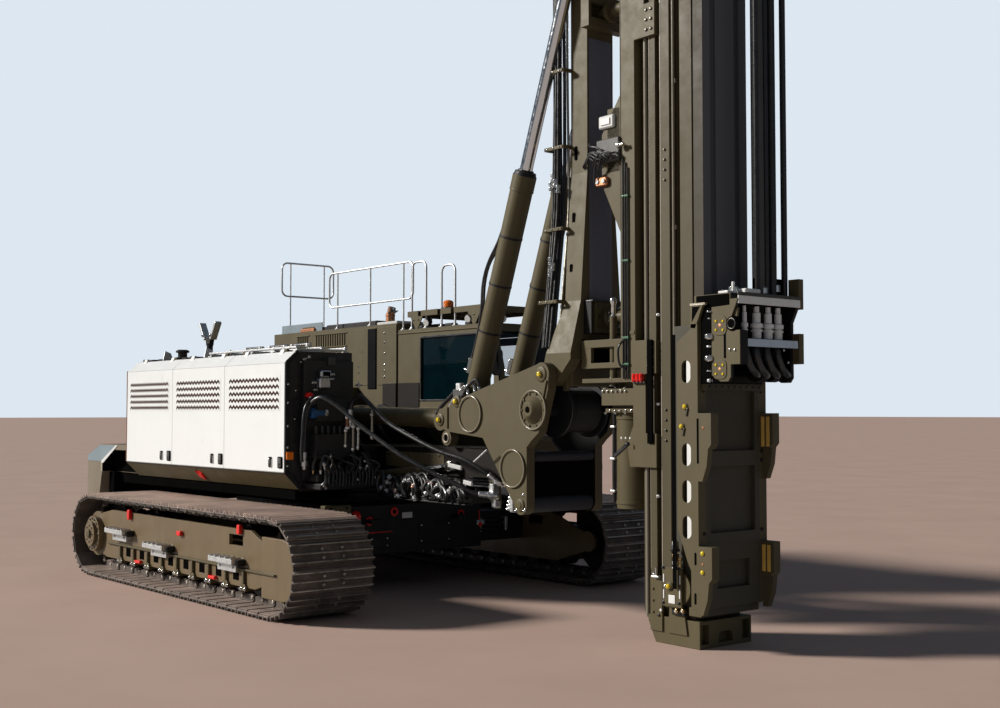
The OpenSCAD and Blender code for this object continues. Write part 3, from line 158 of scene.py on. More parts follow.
def mix(tree, fac, a, b):
    m = tree.nodes.new("ShaderNodeMix")
    m.data_type = "RGBA"
    for k, value in ((0, fac), (6, a), (7, b)):
        put(tree, m.inputs[k], value)
    return m.outputs[2]


def dust_mask(tree, amount):
    """Dust lies on what faces up, in patches."""
    normal = tree.nodes.new("ShaderNodeNewGeometry").outputs["Normal"]
    up = ramp(tree, one_of(tree, normal, 2), [(0.55, grey(0.0)), (1.0, grey(1.0))])
    patches = ramp(tree, noise(tree, 3.5, 6.0, 0.65), [(0.35, grey(0.35)), (0.7, grey(1.0))])
    return math_node(tree, "MULTIPLY", math_node(tree, "MULTIPLY", up, patches), amount)


def bump(tree, shader, height, strength, distance):
    b = tree.nodes.new("ShaderNodeBump")
    b.inputs["Strength"].default_value = strength
    b.inputs["Distance"].default_value = distance
    tree.links.new(height, b.inputs["Height"])
    soft = tree.nodes.new("ShaderNodeBevel")
    soft.samples = 4
    soft.inputs["Radius"].default_value = 0.006
    tree.links.new(soft.outputs["Normal"], b.inputs["Normal"])
    tree.links.new(b.outputs["Normal"], shader.inputs["Normal"])


def inside_mask(tree, half):
    """1 where a point lies nearer to the middle plane than half."""
    return math_node(tree, "LESS_THAN", math_node(tree, "ABSOLUTE", one_of(tree, object_place(tree), 1)), half)


def face_mask(tree, axis, limit):
    """1 where the object's coordinate along the axis is above the limit."""
    return math_node(tree, "GREATER_THAN", one_of(tree, object_place(tree), axis), limit)


def paint(name, color, rough, vary, dust, coat=0.0, inner=(), streak=0.35, shine=0.5):
    """Sprayed paint: cloudy colour, faint orange peel, dust on top faces, streaks down the sides, and painted shade in
    bands near the middle plane.
    """
    mat, tree, shader = new_material(name)
    cloudy = ramp(tree, noise(tree, 1.7, 5.0, 0.6), [(0.3, rgba(color, 1 - vary)), (0.7, rgba(color, 1 + vary))])
    streaks = ramp(tree, noise(tree, 9.0, 4.0, 0.6, (1.0, 1.0, 0.07)), [(0.45, grey(0.0)), (0.75, grey(streak))])
    streaked = mix(tree, streaks, cloudy, rgba(color, 0.72))
    dusty = mix(tree, dust_mask(tree, dust), streaked, rgba(DUST))
    for half, shade in inner:
        dusty = mix(tree, inside_mask(tree, half), dusty, rgba(shade))
    r = ramp(tree, noise(tree, 6.0, 6.0, 0.7), [(0.3, grey(max(0.0, rough - 0.09))), (0.75, grey(rough + 0.13))])
    set_shader(tree, shader, {"Base Color": dusty, "Roughness": r, "Specular IOR Level": shine, "Coat Weight": coat,
                              "Coat Roughness": 0.15})
    bump(tree, shader, noise(tree, 220.0, 2.0, 0.5), 0.08, 0.002)
    return mat


def metal(name, color, rough, vary=0.12, scale=14.0, stretch=None, tarnish=None):
    mat, tree, shader = new_material(name)
    base = ramp(tree, noise(tree, scale, 5.0, 0.65, stretch),
                [(0.3, rgba(color, 1 - vary)), (0.7, rgba(color, 1 + vary))])
    if tarnish:
        spots = ramp(tree, noise(tree, 4.5, 7.0, 0.7), [(0.5, grey(0.0)), (0.68, grey(1.0))])
        base = mix(tree, spots, base, rgba(tarnish))
    r = ramp(tree, noise(tree, scale * 2, 5.0, 0.7), [(0.3, grey(max(0.02, rough - 0.08))), (0.75, grey(rough + 0.12))])
    set_shader(tree, shader, {"Base Color": base, "Metallic": 1.0, "Roughness": r})
    bump(tree, shader, noise(tree, 160.0, 3.0, 0.6, stretch), 0.1, 0.002)
    return mat


def rubber(name, color, rough):
    mat, tree, shader = new_material(name)
    base = ramp(tree, noise(tree, 7.0, 5.0, 0.7), [(0.35, rgba(color)), (0.8, rgba(color, 2.2))])
    r = ramp(tree, noise(tree, 12.0, 5.0, 0.7), [(0.3, grey(rough - 0.1)), (0.8, grey(rough + 0.2))])
    set_shader(tree, shader, {"Base Color": base, "Roughness": r})
    bump(tree, shader, noise(tree, 300.0, 2.0, 0.5), 0.15, 0.001)
    return mat


def track_iron(name):
    """Dusty cast shoes: brown-grey dust over dark steel."""
    mat, tree, shader = new_material(name)
    base = ramp(tree, noise(tree, 5.0, 8.0, 0.7),
                [(0.3, (0.05, 0.04, 0.036, 1)), (0.55, (0.105, 0.083, 0.07, 1)), (0.75, (0.2, 0.155, 0.13, 1))])
    dusty = mix(tree, dust_mask(tree, 0.95), base, (0.52, 0.395, 0.335, 1.0))
    r = ramp(tree, noise(tree, 18.0, 6.0, 0.7), [(0.3, grey(0.42)), (0.8, grey(0.8))])
    set_shader(tree, shader, {"Base Color": dusty, "Metallic": 0.1, "Roughness": r})
    bump(tree, shader, noise(tree, 90.0, 6.0, 0.7), 0.3, 0.004)
    return mat


def lamp_lens(name, color):
    mat, tree, shader = new_material(name)
    base = ramp(tree, noise(tree, 60.0, 3.0, 0.5), [(0.3, rgba(color, 0.8)), (0.7, rgba(color))])
    set_shader(tree, shader, {"Base Color": base, "Roughness": 0.15, "Coat Weight": 1.0})
    return mat


def tinted_glass(name):
    """Thin tinted pane; darker and less clear on the right side as painted shade of the dim cab behind it, clearer at
    the front and on the left.
    """
    mat, tree, shader = new_material(name)
    base = ramp(tree, noise(tree, 3.0, 5.0, 0.6), [(0.3, (0.0005, 0.006, 0.009, 1)), (0.7, (0.001, 0.012, 0.016, 1))])
    clear = math_node(tree, "MAXIMUM", face_mask(tree, 0, 0.93), face_mask(tree, 1, 1.45))
    set_shader(tree, shader, {"Base Color": base, "Roughness": 0.06, "Coat Weight": 0.4,
                              "Alpha": mix(tree, clear, grey(0.84), grey(0.3))})
    return mat


DUST = (0.33, 0.28, 0.21)
# Name, colour, roughness, variation of the colour, dust, and what differs from paint()'s usual values
PAINTS = (
    ("olive_paint", (0.1, 0.081, 0.041), 0.5, 0.06, 0.1, {"shine": 0.25}),
    ("weight_paint", (0.2, 0.16, 0.112), 0.5, 0.06, 0.1),
    ("track_frame_paint", (0.15, 0.104, 0.052), 0.42, 0.08, 0.25),
    ("leader_paint", (0.082, 0.067, 0.037), 0.5, 0.06, 0.08, {"shine": 0.2}),
    # Boom head: near black and dark grey between its side plates are painted shade
    ("head_paint", (0.096, 0.078, 0.041), 0.5, 0.06, 0.1,
     {"shine": 0.25, "inner": ((0.4005, (0.005, 0.005, 0.006)), (0.385, (0.03, 0.03, 0.036)))}),
    # Coupling head: near black within its middle band is painted shade
    ("coupling_paint", (0.098, 0.08, 0.041), 0.5, 0.06, 0.02,
     {"shine": 0.25, "inner": ((0.398, (0.006, 0.006, 0.006)),)}),
    # Sledge: darker grey within its middle band is painted shade on front and inner faces
    ("sledge_paint", (0.098, 0.08, 0.043), 0.5, 0.06, 0.05,
     {"shine": 0.25, "inner": ((0.345, (0.063, 0.058, 0.042)),)}),
    # Inner mast: darker sides and slate-grey front bands are painted shade
    ("inner_mast_paint", (0.05, 0.042, 0.028), 0.5, 0.1, 0.0,
     {"shine": 0.2, "inner": ((0.2845, (0.115, 0.115, 0.125)), (0.19, (0.075, 0.076, 0.088)),
                              (0.12, (0.125, 0.127, 0.14)))}),
    # Boom arm's near black: partly its dark paint, partly painted shade; the same colour paints the power pack's shadow
    # on cab and hood
    ("boom_paint", (0.011, 0.009, 0.007), 0.6, 0.1, 0.12, {"shine": 0.15}),
    ("pipe_paint", (0.2, 0.18, 0.14), 0.26, 0.08, 0.02),
    # Dark parts' own colour, also used as painted shade on the upper frame
    ("dark_paint", (0.012, 0.012, 0.013), 0.5, 0.16, 0.1, {"shine": 0.3}),
    ("shadow_black", (0.004, 0.004, 0.004), 0.8, 0.16, 0.0, {"shine": 0.0}),
    ("white_paint", (0.845, 0.865, 0.875), 0.35, 0.006, 0.02, {"coat": 0.2, "streak": 0.05}),
    ("engine_paint", (0.05, 0.05, 0.05), 0.5, 0.16, 0.25),
    ("red_paint", (0.8, 0.012, 0.006), 0.4, 0.08, 0.05),
    ("grey_plate", (0.55, 0.56, 0.55), 0.4, 0.05, 0.1),
    # Pale plates, also used as painted light for sky seen through the sledge's holes and for a lit edge on the
    # counterweight
    ("blank_plate", (0.75, 0.75, 0.74), 0.35, 0.03, 0.05),
    ("worn_edge", (0.42, 0.37, 0.29), 0.3, 0.1, 0.05),
    # Weld rings, lighter than the plates as a painted highlight
    ("ring_edge", (0.26, 0.225, 0.165), 0.22, 0.1, 0.02),
    # Cool slate as painted shade on the mast's front
    ("mast_slate", (0.125, 0.13, 0.175), 0.46, 0.1, 0.02),
    ("green_clip", (0.03, 0.12, 0.06), 0.4, 0.1, 0.05),
    ("blue_grey", (0.23, 0.29, 0.33), 0.35, 0.08, 0.1),
    ("black_film", (0.004, 0.004, 0.005), 0.7, 0.3, 0.0, {"shine": 0.05}),
    ("grille_brown", (0.05, 0.024, 0.018), 0.6, 0.3, 0.0, {"shine": 0.1}),
    # Track bars' dust, made brighter as painted light on the upper run
    ("dusty_bar", (0.8, 0.635, 0.545), 0.8, 0.25, 0.0, {"shine": 0.1}),
    # Polished claw faces, coloured as a painted reflection of warm light
    ("gold_wear", (0.86, 0.5, 0.11), 0.3, 0.25, 0.0),
    ("shelf_blue", (0.5, 0.6, 0.7), 0.35, 0.05, 0.0),
)
# Name, colour, roughness, and what differs from metal()'s usual values
METALS = (
    ("winch_rope", (0.055, 0.055, 0.055), 0.55, {"scale": 60.0}),
    ("track_worn", (0.52, 0.47, 0.42), 0.42, {"scale": 30.0, "tarnish": (0.1, 0.08, 0.06)}),
    ("galvanised", (0.68, 0.69, 0.7), 0.4, {"scale": 22.0}),
    ("bright_steel", (0.72, 0.72, 0.7), 0.2, {"scale": 30.0}),
    ("dark_steel", (0.12, 0.115, 0.1), 0.35, {"scale": 30.0}),
    ("chromed_rod", (0.8, 0.81, 0.83), 0.12, {"vary": 0.03}),
    ("pipe_steel", (0.42, 0.39, 0.32), 0.3, {"stretch": (1, 1, 0.1)}),
    ("brass", (0.62, 0.42, 0.2), 0.22, {"scale": 18.0}),
    ("copper", (0.42, 0.2, 0.11), 0.42, {"scale": 9.0, "tarnish": (0.16, 0.1, 0.08)}),
    ("exhaust_metal", (0.4, 0.22, 0.14), 0.42, {"scale": 9.0, "tarnish": (0.14, 0.09, 0.07)}),
)
# Name, colour, roughness
RUBBERS = (
    ("black_parts", (0.012, 0.012, 0.013), 0.34), ("rubber", (0.013, 0.013, 0.014), 0.3),
    ("blue_rubber", (0.01, 0.06, 0.16), 0.35), ("seat_cloth", (0.02, 0.17, 0.15), 0.8),
)
LENSES = (("beacon_orange", (0.95, 0.22, 0.01)), ("red_lens", (0.85, 0.02, 0.01)), ("yellow_cap", (0.85, 0.62, 0.01)))


def make_materials():
    made = {}
    for make, rows in ((paint, PAINTS), (metal, METALS), (rubber, RUBBERS), (lamp_lens, LENSES)):
        for name, *values in rows:
            more = values.pop() if isinstance(values[-1], dict) else {}
            made[name] = make(name, *values, **more)
    for make, name in ((track_iron, "track_steel"), (tinted_glass, "cab_glass")):
        made[name] = make(name)
    return made


MATERIALS = make_materials()


# Shapes: every piece is one mesh, gathered from simple forms with rounded edges. Y and Z are the model's own.


class Piece:
    """One mesh of many forms that rides on a body; a form without a material takes the piece's slot."""

    def __init__(self, name, body, slot):
        self.name, self.body, self.slot = name, body, slot
        self.points, self.faces, self.face_mats, self.mats = [], [], [], []

    def add(self, points, faces, mat):
        mat = mat or self.slot
        if mat not in self.mats:
            self.mats.append(mat)
        k = self.mats.index(mat)
        base = len(self.points)
        self.points.extend((p[0] + SLEW_X, p[1], p[2]) for p in points)
        self.faces.extend(tuple(base + i for i in f) for f in faces)
        self.face_mats.extend([k] * len(faces))

    def box(self, low, high, mat=None, c=0.004):
        middle = [(a + b) / 2 for a, b in zip(low, high)]
        half = [abs(b - a) / 2 for a, b in zip(low, high)]
        self.block(middle, AHEAD, LEFT, half, mat, c)

    def block(self, middle, along, across, half, mat=None, c=0.004):
        """Box turned to the direction along, with chamfered edges."""
        u = Vector(along).normalized()
        v = (Vector(across) - u * u.dot(Vector(across))).normalized()
        w = u.cross(v)
        m = Vector(middle)
        c = min(c, min(half) * 0.45)
        corners, spot = [], {}
        for sx in (-1, 1):
            for sy in (-1, 1):
                for sz in (-1, 1):
                    for k in range(3):
                        d = [half[0] - c, half[1] - c, half[2] - c]
                        d[k] = half[k]
                        spot[(sx, sy, sz, k)] = len(corners)
                        corners.append(m + u * sx * d[0] + v * sy * d[1] + w * sz * d[2])
        faces = []
        for k in range(3):
            a, b = [i for i in range(3) if i != k]
            for s in (-1, 1):
                ring = []
                for p, q in ((-1, -1), (1, -1), (1, 1), (-1, 1)):
                    key = [0, 0, 0]
                    key[k], key[a], key[b] = s, p, q
                    ring.append(spot[tuple(key) + (k,)])
                if (s > 0) != (k != 1):
                    ring.reverse()
                faces.append(ring)
        for k in range(3):
            a, b = [i for i in range(3) if i != k]
            for p in (-1, 1):
                for q in (-1, 1):
                    lo, hi = [0, 0, 0], [0, 0, 0]
                    lo[k], hi[k] = -1, 1
                    lo[a] = hi[a] = p
                    lo[b] = hi[b] = q
                    ring = [spot[tuple(lo) + (a,)], spot[tuple(lo) + (b,)], spot[tuple(hi) + (b,)],
                            spot[tuple(hi) + (a,)]]
                    if (p * q > 0) != (k != 1):
                        ring.reverse()
                    faces.append(ring)
        for sx in (-1, 1):
            for sy in (-1, 1):
                for sz in (-1, 1):
                    ring = [spot[(sx, sy, sz, k)] for k in range(3)]
                    if sx * sy * sz < 0:
                        ring.reverse()
                    faces.append(ring)
        self.add(corners, faces, mat)

    def lathe(self, start, axis, profile, mat=None, n=20, ends=True):
        """Turned form: the profile holds (distance along the axis, radius)."""
        d = Vector(axis).normalized()
        a = d.orthogonal().normalized()
        b = d.cross(a)
        s = Vector(start)
        points, faces, rings = [], [], []
        for t, r in profile:
            if r <= 1e-6:
                rings.append([len(points)])
                points.append(s + d * t)
            else:
                rings.append(list(range(len(points), len(points) + n)))
                for k in range(n):
                    g = 2 * math.pi * k / n
                    points.append(s + d * t + a * r * math.cos(g) + b * r * math.sin(g))
        for p, q in zip(rings, rings[1:]):
            if len(p) == 1 and len(q) == 1:
                continue
            for k in range(n):
                m = (k + 1) % n
                if len(p) == 1:
                    faces.append((p[0], q[m], q[k]))
                elif len(q) == 1:
                    faces.append((p[k], p[m], q[0]))
                else:
                    faces.append((p[k], p[m], q[m], q[k]))
        if ends and len(rings[0]) > 1:
            faces.append(tuple(reversed(rings[0])))
        if ends and len(rings[-1]) > 1:
            faces.append(tuple(rings[-1]))
        self.add(points, faces, mat)

    def ring(self, start, axis, r1, r2, h, mat=None, n=48):
        """Round bead between two radii."""
        m, w = (r1 + r2) / 2, (r2 - r1) / 2
        turn = [(h * math.sin(math.pi * k / 6), m + w * math.cos(math.pi * k / 6)) for k in range(7)]
        self.lathe(start, axis, turn, mat, n, False)

    def rod(self, p, q, r, mat=None, n=16):
        d = Vector(q) - Vector(p)
        c = min(0.003, r * 0.4, d.length * 0.4)
        self.lathe(p, d, [(0, r - c), (c, r), (d.length - c, r), (d.length, r - c)], mat, n)

    def bolt(self, p, axis, r, mat=None, washer=True):
        """Hexagon head on its washer."""
        d = Vector(axis).normalized()
        s = Vector(p)
        if washer:
            self.lathe(s - d * 0.001, d, [(0, r * 1.5), (r * 0.25, r * 1.5), (r * 0.3, r * 1.4)], mat, 12)
        self.lathe(s, d, [(0, r), (r * 0.95, r), (r * 1.15, r * 0.8)], mat, 6)

    def bolt_ring(self, middle, axis, radius, count, r, mat=None, washer=True, start=0.0):
        """Bolts on a circle round an axis along X or Y."""
        x, y, z = middle
        for k in range(count):
            a = 2 * math.pi * (k + start) / count
            u, v = radius * math.cos(a), radius * math.sin(a)
            self.bolt((x, y + u, z + v) if axis[0] else (x + u, y, z + v), axis, r, mat, washer)

    def ball(self, p, r, mat=None, n=14):
        ring = [(-r * math.cos(math.pi * k / 8), r * math.sin(math.pi * k / 8)) for k in range(9)]
        self.lathe(p, UP, ring, mat, n)

    def tube(self, path, r, mat=None, n=10):
        """Round hose or pipe along the points of a path."""
        pts = [Vector(p) for p in path]
        last = len(pts) - 1
        tangents = [(pts[min(i + 1, last)] - pts[max(i - 1, 0)]).normalized() for i in range(len(pts))]
        a = tangents[0].orthogonal().normalized()
        points, faces = [], []
        for p, t in zip(pts, tangents):
            a = (a - t * a.dot(t)).normalized()
            b = t.cross(a)
            for k in range(n):
                g = 2 * math.pi * k / n
                points.append(p + a * r * math.cos(g) + b * r * math.sin(g))
        for i in range(last):
            for k in range(n):
                m = (k + 1) % n
                faces.append((i * n + k, i * n + m, (i + 1) * n + m, (i + 1) * n + k))
        faces.append(tuple(reversed(range(n))))
        faces.append(tuple(range(last * n, len(pts) * n)))
        self.add(points, faces, mat)

    def prism(self, outline, place, t1, t2, mat=None, c=0.003, edge_mats=None):
        """Flat outline drawn counter-clockwise in (u, v), pulled from t1 to t2; place maps (u, v, t) to a point."""
        n = len(outline)

        def inset(d):
            out = []
            for i in range(n):
                a, b, e = (Vector((*outline[(i + k) % n], 0)) for k in (-1, 0, 1))
                d1, d2 = (b - a).normalized(), (e - b).normalized()
                n1, n2 = Vector((-d1.y, d1.x, 0)), Vector((-d2.y, d2.x, 0))
                m = n1 + n2
                k = d / max(0.35, m.dot(n1))
                out.append((b.x + m.x * k, b.y + m.y * k))
            return out

        small = inset(c)
        layers = [(small, t1), (outline, t1 + c), (outline, t2 - c), (small, t2)]
        points = [place(u, v, t) for ring, t in layers for u, v in ring]
        across = Vector(place(1, 0, 0)) - Vector(place(0, 0, 0))
        up = Vector(place(0, 1, 0)) - Vector(place(0, 0, 0))
        deep = Vector(place(0, 0, 1)) - Vector(place(0, 0, 0))
        flip = across.cross(up).dot(deep) < 0

        def side(ring):
            return tuple(reversed(ring)) if flip else tuple(ring)

        self.add(points, [side([n - 1 - i for i in range(n)]), side([3 * n + i for i in range(n)])], mat)
        base_faces = []
        for layer in range(3):
            for i in range(n):
                k = (i + 1) % n
                base_faces.append(side([layer * n + i, layer * n + k, (layer + 1) * n + k, (layer + 1) * n + i]))
        if edge_mats is None:
            self.add(points, base_faces, mat)
        else:
            for m in sorted(set(edge_mats)):
                chosen = [f for k, f in enumerate(base_faces) if edge_mats[k % n] == m]
                self.add(points, chosen, m)

    def plate(self, u1, v1, u2, v2, place, t1, t2, mat=None, c=0.003):
        """Rectangle between two corners, pulled from t1 to t2."""
        self.prism([(u1, v1), (u2, v1), (u2, v2), (u1, v2)], place, t1, t2, mat, c)

    def done(self, replaces=(), body=True):
        """Makes the object, shaded smooth up to a sharp angle."""
        mesh = bpy.data.meshes.new(self.name)
        mesh.from_pydata(self.points, [], self.faces)
        for m in self.mats:
            mesh.materials.append(MATERIALS[m])
        mesh.polygons.foreach_set("material_index", self.face_mats)
        mesh.update()
        bm = bmesh.new()
        bm.from_mesh(mesh)
        bmesh.ops.remove_doubles(bm, verts=bm.verts, dist=1e-6)
        bmesh.ops.delete(bm, geom=[v for v in bm.verts if not v.link_faces], context="VERTS")
        bm.to_mesh(mesh)
        bm.free()
        mesh.polygons.foreach_set("use_smooth", [True] * len(mesh.polygons))
        mesh.set_sharp_from_angle(angle=math.radians(34))
        obj = bpy.data.objects.new(self.name, mesh)
        bpy.context.scene.collection.objects.link(obj)
        if body:
            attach(obj, self.body)
        if replaces:
            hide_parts(*replaces)
        return obj


def on_y(y, way=0):
    """Places an outline drawn in X and Z; t goes along Y, away from the middle plane unless a way is given."""
    s = way or (-1 if y < 0 else 1)
    return lambda u, v, t: (u, y + s * t, v)


def on_x(x):
    return lambda u, v, t: (x + t, u, v)


def on_z(z):
    return lambda u, v, t: (u, v, z + t)


def rounded(cx, cy, w, h, r, n=4):
    """Outline of a rectangle with round corners, counter-clockwise."""
    out = []
    for sx, sy, a0 in ((1, -1, -90), (1, 1, 0), (-1, 1, 90), (-1, -1, 180)):
        for k in range(n + 1):
            a = math.radians(a0 + 90 * k / n)
            out.append((cx + sx * (w / 2 - r) + r * math.cos(a), cy + sy * (h / 2 - r) + r * math.sin(a)))
    return out


def curve(points, per=6):
    """Smooth path through the points."""
    p = [Vector(q) for q in points]
    p = [p[0] * 2 - p[1]] + p + [p[-1] * 2 - p[-2]]
    out = []
    for i in range(1, len(p) - 2):
        for k in range(per):
            t = k / per
            out.append(0.5 * ((2 * p[i]) + (p[i + 1] - p[i - 1]) * t
                              + (2 * p[i - 1] - 5 * p[i] + 4 * p[i + 1] - p[i + 2]) * t * t
                              + (3 * p[i] - p[i - 1] - 3 * p[i + 1] + p[i + 2]) * t ** 3))
    out.append(p[-2])
    return out


def seen(px, py, x=None, y=None, z=None):
    """Point of the line of sight through a pixel, where it meets one plane, along slew axes."""
    right = Vector((math.sin(HEADING), math.cos(HEADING), 0))
    up = right.cross(LOOK)
    d = LOOK * FOCAL_PX + right * (px - IMAGE_W / 2) - up * (py - IMAGE_H / 2)
    eye = CAMERA_AT - Vector((SLEW_X, 0, 0))
    k, value = (0, x) if x is not None else (1, y) if y is not None else (2, z)
    return eye + d * ((value - eye[k]) / d[k])


# Hoses that hang free between the upper machine and the boom

# Lower and upper hose: the points each one passes, as X, Y and height
LOWER_HOSE = [
    (1.166, -1.402, 1.47), (1.168, -1.403, 1.6), (1.178, -1.405, 1.78), (1.2, -1.4, 1.95), (1.265, -1.385, 2.085),
    (1.39, -1.345, 2.155), (1.52, -1.285, 2.105), (1.66, -1.22, 2.01), (1.84, -1.15, 1.87), (2.08, -1.07, 1.725),
    (2.36, -0.98, 1.565), (2.58, -0.88, 1.45), (2.78, -0.78, 1.35), (2.96, -0.68, 1.265), (3.1, -0.59, 1.19),
    (3.205, -0.484, 1.172),
]
UPPER_HOSE = [
    (1.285, -0.9, 1.93), (1.29, -0.9, 2.01), (1.345, -0.895, 2.12), (1.47, -0.885, 2.175), (1.6, -0.865, 2.1),
    (1.75, -0.835, 1.985), (1.92, -0.8, 1.87), (2.26, -0.74, 1.73), (2.62, -0.67, 1.6), (2.92, -0.59, 1.525),
    (3.08, -0.535, 1.45), (3.185, -0.47, 1.375), (3.235, -0.411, 1.313),
]
HOSE_D = 0.046
HOSE_FITTING = [(0, 0.0245), (0.004, 0.03), (0.07, 0.03), (0.074, 0.026), (0.09, 0.026), (0.092, 0.036),
                (0.125, 0.036), (0.13, 0.022), (0.19, 0.022)]


def hose_bracket():
    """Bracket below the boom that takes the hoses' front ends."""
    b = Piece("boom_hose_bracket", "boom", "olive_paint")
    b.prism([(3.1, 1.338), (3.08, 1.16), (3.16, 1.03), (3.27, 1.03), (3.29, 1.1), (3.26, 1.2), (3.3, 1.338)],
            on_y(-0.375), 0, 0.014)
    b.box((3.1, -0.389, 1.312), (3.3, -0.3, 1.338))
    b.box((3.215, -0.46, 1.045), (3.285, -0.387, 1.125), "galvanised", 0.008)
    for x, z in ((3.12, 1.22), (3.17, 1.07), (3.24, 1.16)):
        b.bolt((x, -0.389, z), RIGHT, 0.013, "bright_steel")
    b.done()
    block = Piece("boom_hose_block", "boom", "galvanised")
    block.box((3.195, -0.47, 1.187), (3.262, -0.387, 1.285), c=0.008)
    return block.done()


def make_big_hoses():
    for name, points in (("boom_hose_lower", LOWER_HOSE), ("boom_hose_upper", UPPER_HOSE)):
        path = curve(points, 8)
        hose = Piece(name, "upper", "black_parts")
        hose.tube(path, HOSE_D / 2, "rubber", 16)
        obj = hose.done(body=False)
        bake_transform(obj)
        for tag, i, j, body in (("rear", 0, 1, "upper"), ("front", -1, -2, "boom")):
            p, q = path[i], path[j]
            out = (p - q).normalized()
            end = Piece(f"{name}_{tag}_fitting", body, "galvanised")
            end.lathe(p - out * 0.1, out, HOSE_FITTING, n=18)
            end.lathe(p + out * 0.02, out, [(0, 0.038), (0.035, 0.038)], n=6)
            end.done()
        if name == "boom_hose_upper":
            hose_bracket()


# Tracks: radius of the chain's pins, wheels' distance, shoes; link, shoe and bar heights, shoe width

PITCH_R, WHEEL_BASE, SHOES, AXLE_Z = 0.39, 4.6, 54, 0.5
LINK_H, SHOE_T, GROUSER_H, SHOE_W = 0.062, 0.02, 0.028, 0.9
TRACK_Y, LINK_Y = 2.0, 0.11
ROLLERS, ROLLER_STEP = 9, 3.1 / 8
PITCH = (2 * WHEEL_BASE + 2 * math.pi * PITCH_R) / SHOES
# Side view of a link from one pin to the next, along the chain and out of it
LINK = [(-0.035, -0.03), (PITCH * 0.55, -0.034), (PITCH * 0.62, -0.018), (PITCH + 0.02, -0.012),
        (PITCH + 0.034, 0.004), (PITCH + 0.02, 0.028), (PITCH * 0.82, 0.061), (0.02, 0.061), (-0.035, 0.03)]


def chain_pin(i):
    """Place of the chain's pin number i, in X and Z, from the upper run's rear end on."""
    s = (i % SHOES) * PITCH
    half, arc = WHEEL_BASE / 2, math.pi * PITCH_R
    if s < WHEEL_BASE:
        return Vector((s - half, AXLE_Z + PITCH_R))
    s -= WHEEL_BASE
    if s < arc:
        a = s / PITCH_R
        return Vector((half + PITCH_R * math.sin(a), AXLE_Z + PITCH_R * math.cos(a)))
    s -= arc
    if s < WHEEL_BASE:
        return Vector((half - s, AXLE_Z - PITCH_R))
    a = (s - WHEEL_BASE) / PITCH_R
    return Vector((-half - PITCH_R * math.sin(a), AXLE_Z - PITCH_R * math.cos(a)))


def make_track(side, tag):
    """Shoes and chain of one track, shoe by shoe round the loop."""
    y = side * TRACK_Y
    shoes = Piece(f"track_shoes_{tag}_detail", "undercarriage", "track_steel")
    chain = Piece(f"track_chain_{tag}", "undercarriage", "track_steel")
    top, tip = LINK_H + SHOE_T, LINK_H + SHOE_T + GROUSER_H
    for i in range(SHOES):
        a, b = chain_pin(i), chain_pin(i + 1)
        d = (b - a).normalized()
        n = Vector((-d.y, d.x))

        def place(u, v, t, a=a, d=d, n=n):
            p = a + d * u + n * v
            return (p.x, y + t, p.y)

        # Shoe with three bars, dusty on the upper run and brightened there as painted light, worn at their tips
        # elsewhere
        flank, crest = ("dusty_bar", "dusty_bar") if n.y > 0.8 else ("track_steel", "track_worn")
        outline = [(0.004, LINK_H + 0.001), (PITCH - 0.006, LINK_H + 0.001), (PITCH - 0.006, top - 0.004),
                   (PITCH - 0.012, top)]
        mats = ["track_steel", "track_steel", "track_worn", "track_steel"]
        for g in (0.89, 0.49, 0.09):
            m = g * PITCH
            outline += [(m + 0.017, top), (m + 0.0055, tip - 0.001), (m - 0.0055, tip - 0.001), (m - 0.017, top)]
            mats += [flank, crest, flank, "track_steel"]
        outline[-1] = (0.004, top - 0.004)
        shoes.prism(outline, place, -SHOE_W / 2, SHOE_W / 2, c=0.004, edge_mats=mats)
        # Sheet that closes the slit between two shoes
        shoes.plate(-0.02, LINK_H - 0.014, PITCH + 0.02, LINK_H, place, -SHOE_W / 2 + 0.012, SHOE_W / 2 - 0.012,
                    c=0.002)
        for g in (0.29, 0.69):
            for w in (-LINK_Y, LINK_Y):
                shoes.bolt(place(g * PITCH, top - 0.001, w), (n.x, 0, n.y), 0.017, "track_worn", False)
        # Two links, every second pair set wider, and their pin
        shift = 0.012 if i % 2 else 0.0
        for w in (-LINK_Y - shift, LINK_Y + shift):
            chain.prism(LINK, lambda u, v, t, w=w: place(u, v, w + t), -0.034, 0.034, c=0.005)
        chain.rod(place(0, 0, -0.165), place(0, 0, 0.165), 0.021, "track_worn", 10)
    shoes.done([f"track_shoes_{tag}"])
    chain.done()


